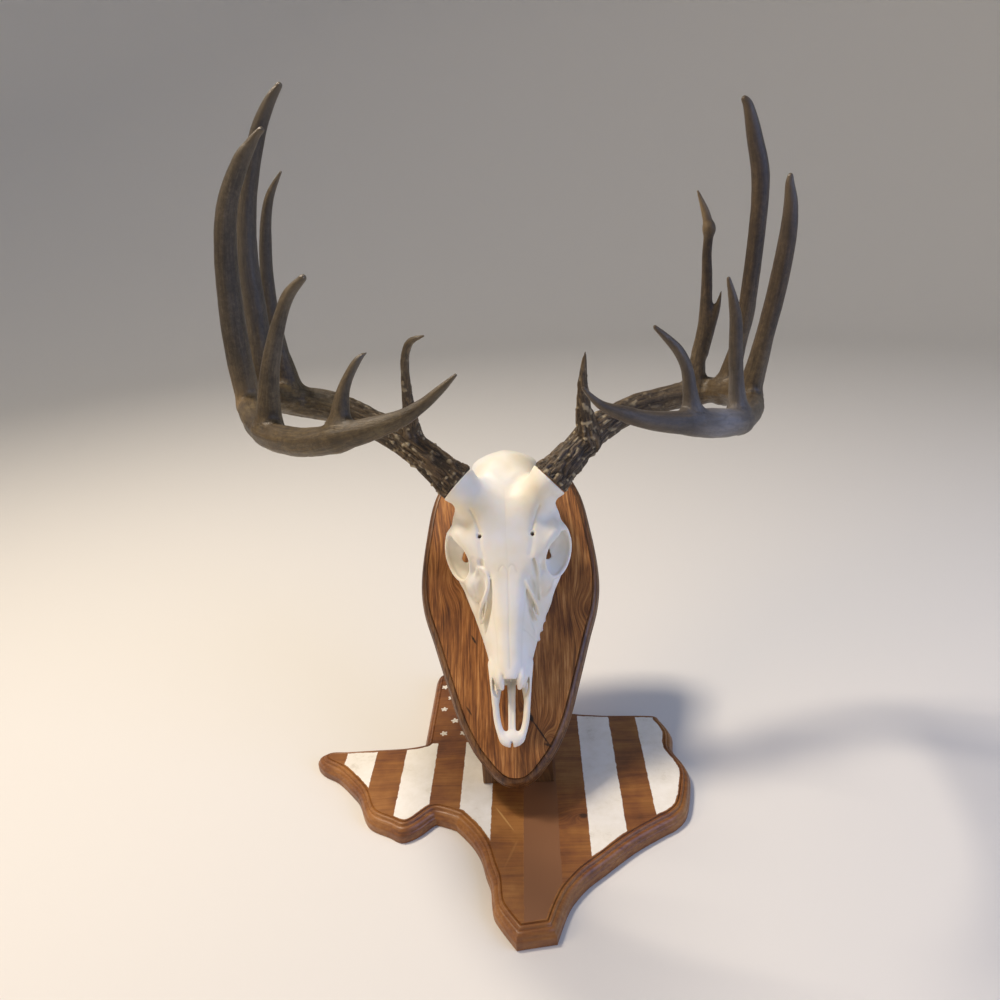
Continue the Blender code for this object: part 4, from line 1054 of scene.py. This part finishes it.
antler_left = grow_antler("antler_left_horn", LEFT_LIMBS, -1, 41)
antler_left.data.materials.append(antler_finish(
    "weathered_antler_left", ("#35271a", "#604c34", "#927e5c"), ("#352a1a", "#4f4027", "#695937"),
    ("#2b241b", "#443b2e", "#5e5445"), "#77684f",
    ((-0.165, 0.058, 0.645, 0.05, "#3f3a36"), (-0.218, -0.005, 0.41, 0.010, "#97805c"),
     (-0.205, 0.060, 0.52, 0.07, "#4b4640")), 0.0))
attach(antler_left, "root")
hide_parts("antler_left")
antler_right = grow_antler("antler_right_horn", RIGHT_LIMBS, 1, 71)
antler_right.data.materials.append(antler_finish(
    "weathered_antler_right", ("#33271b", "#5c4a34", "#8c795a"), ("#382d20", "#504330", "#685941"),
    ("#2a2119", "#423526", "#5b4b38"), "#6c5d48",
    ((0.150, -0.120, 0.405, 0.095, "#4c4845"), (0.168, -0.112, 0.404, 0.014, "#918f90"),
     (0.216, 0.059, 0.619, 0.06, "#332c29"), (0.232, -0.018, 0.559, 0.045, "#383331"),
     (0.192, 0.091, 0.542, 0.02, "#9a8564")), 13.0))
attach(antler_right, "root")
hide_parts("antler_right")


# The studio: a pale paper floor that curves up all round like a dish, a soft warm light overhead on
# the left, a cool one as from a window on the right, a warm low one on the left, and faint even light
# all round. The floor is flat to 2.6 m and then turns up with a radius of 1.3 m.
FLOOR_FLAT, FLOOR_TURN, FLOOR_REACH = 2.6, 1.3, 6.5
bpy.ops.object.select_all(action="DESELECT")
bpy.ops.mesh.primitive_grid_add(x_subdivisions=130, y_subdivisions=130, size=2 * FLOOR_REACH)
floor = bpy.context.object
floor.name = "studio_floor"
for corner in floor.data.vertices:
    far = math.hypot(corner.co.x, corner.co.y)
    if far > FLOOR_FLAT:
        turn = min((far - FLOOR_FLAT) / FLOOR_TURN, math.pi / 2)
        inward = (FLOOR_FLAT + FLOOR_TURN * math.sin(turn)) / far
        wall = max(0.0, far - FLOOR_FLAT - FLOOR_TURN * math.pi / 2)
        corner.co = (corner.co.x * inward, corner.co.y * inward, FLOOR_TURN * (1 - math.cos(turn)) + wall)
floor.data.shade_smooth()
# Matte studio paper, evenly pale.
paper, shader = material("studio_paper")
shader.inputs["Base Color"].default_value = hexed("#e3e2df")
shader.inputs["Roughness"].default_value = 0.9
floor.data.materials.append(paper)


def soft_light(name, place, size, power, colour, aim=(0, 0, 0.25)):
    """A square light of a size in metres and a power in watts, turned to the object."""
    lamp = bpy.data.lights.new(name, "AREA")
    lamp.size = size
    lamp.energy = power
    lamp.color = hexed(colour)[:3]
    holder = bpy.data.objects.new(name, lamp)
    bpy.context.scene.collection.objects.link(holder)
    holder.location = place
    holder.rotation_euler = (Vector(aim) - Vector(place)).to_track_quat("-Z", "Y").to_euler()


soft_light("ceiling_left", (-0.85, 0.25, 2.05), 0.36, 40, "#fff0dc")
soft_light("window_right", (1.6, -0.9, 1.0), 1.2, 16, "#a3c0ff")
soft_light("lamp_left", (-1.6, -0.9, 1.1), 0.8, 10, "#ffdcae")
world = bpy.data.worlds.new("studio")
world.use_nodes = True
world.node_tree.nodes["Background"].inputs["Color"].default_value = hexed("#eef0f4")
world.node_tree.nodes["Background"].inputs["Strength"].default_value = 0.24
bpy.context.scene.world = world
bpy.context.scene.view_settings.view_transform = "Standard"

# The camera stands where the photographer stood, a little above the antlers, tilted 20.7 degrees
# down and rolled 4 degrees.
lens = bpy.data.cameras.new("camera")
lens.sensor_width = 36
lens.lens = 28.08
lens.clip_start = 0.01
camera = bpy.data.objects.new("camera", lens)
bpy.context.scene.collection.objects.link(camera)
camera.matrix_world = Matrix(((0.99753, 0.05176, 0.04738, 0.03245), (0.02586, 0.35646, -0.93395, -0.65037),
                              (-0.06523, 0.93288, 0.35424, 0.553), (0, 0, 0, 1)))
bpy.context.scene.camera = camera
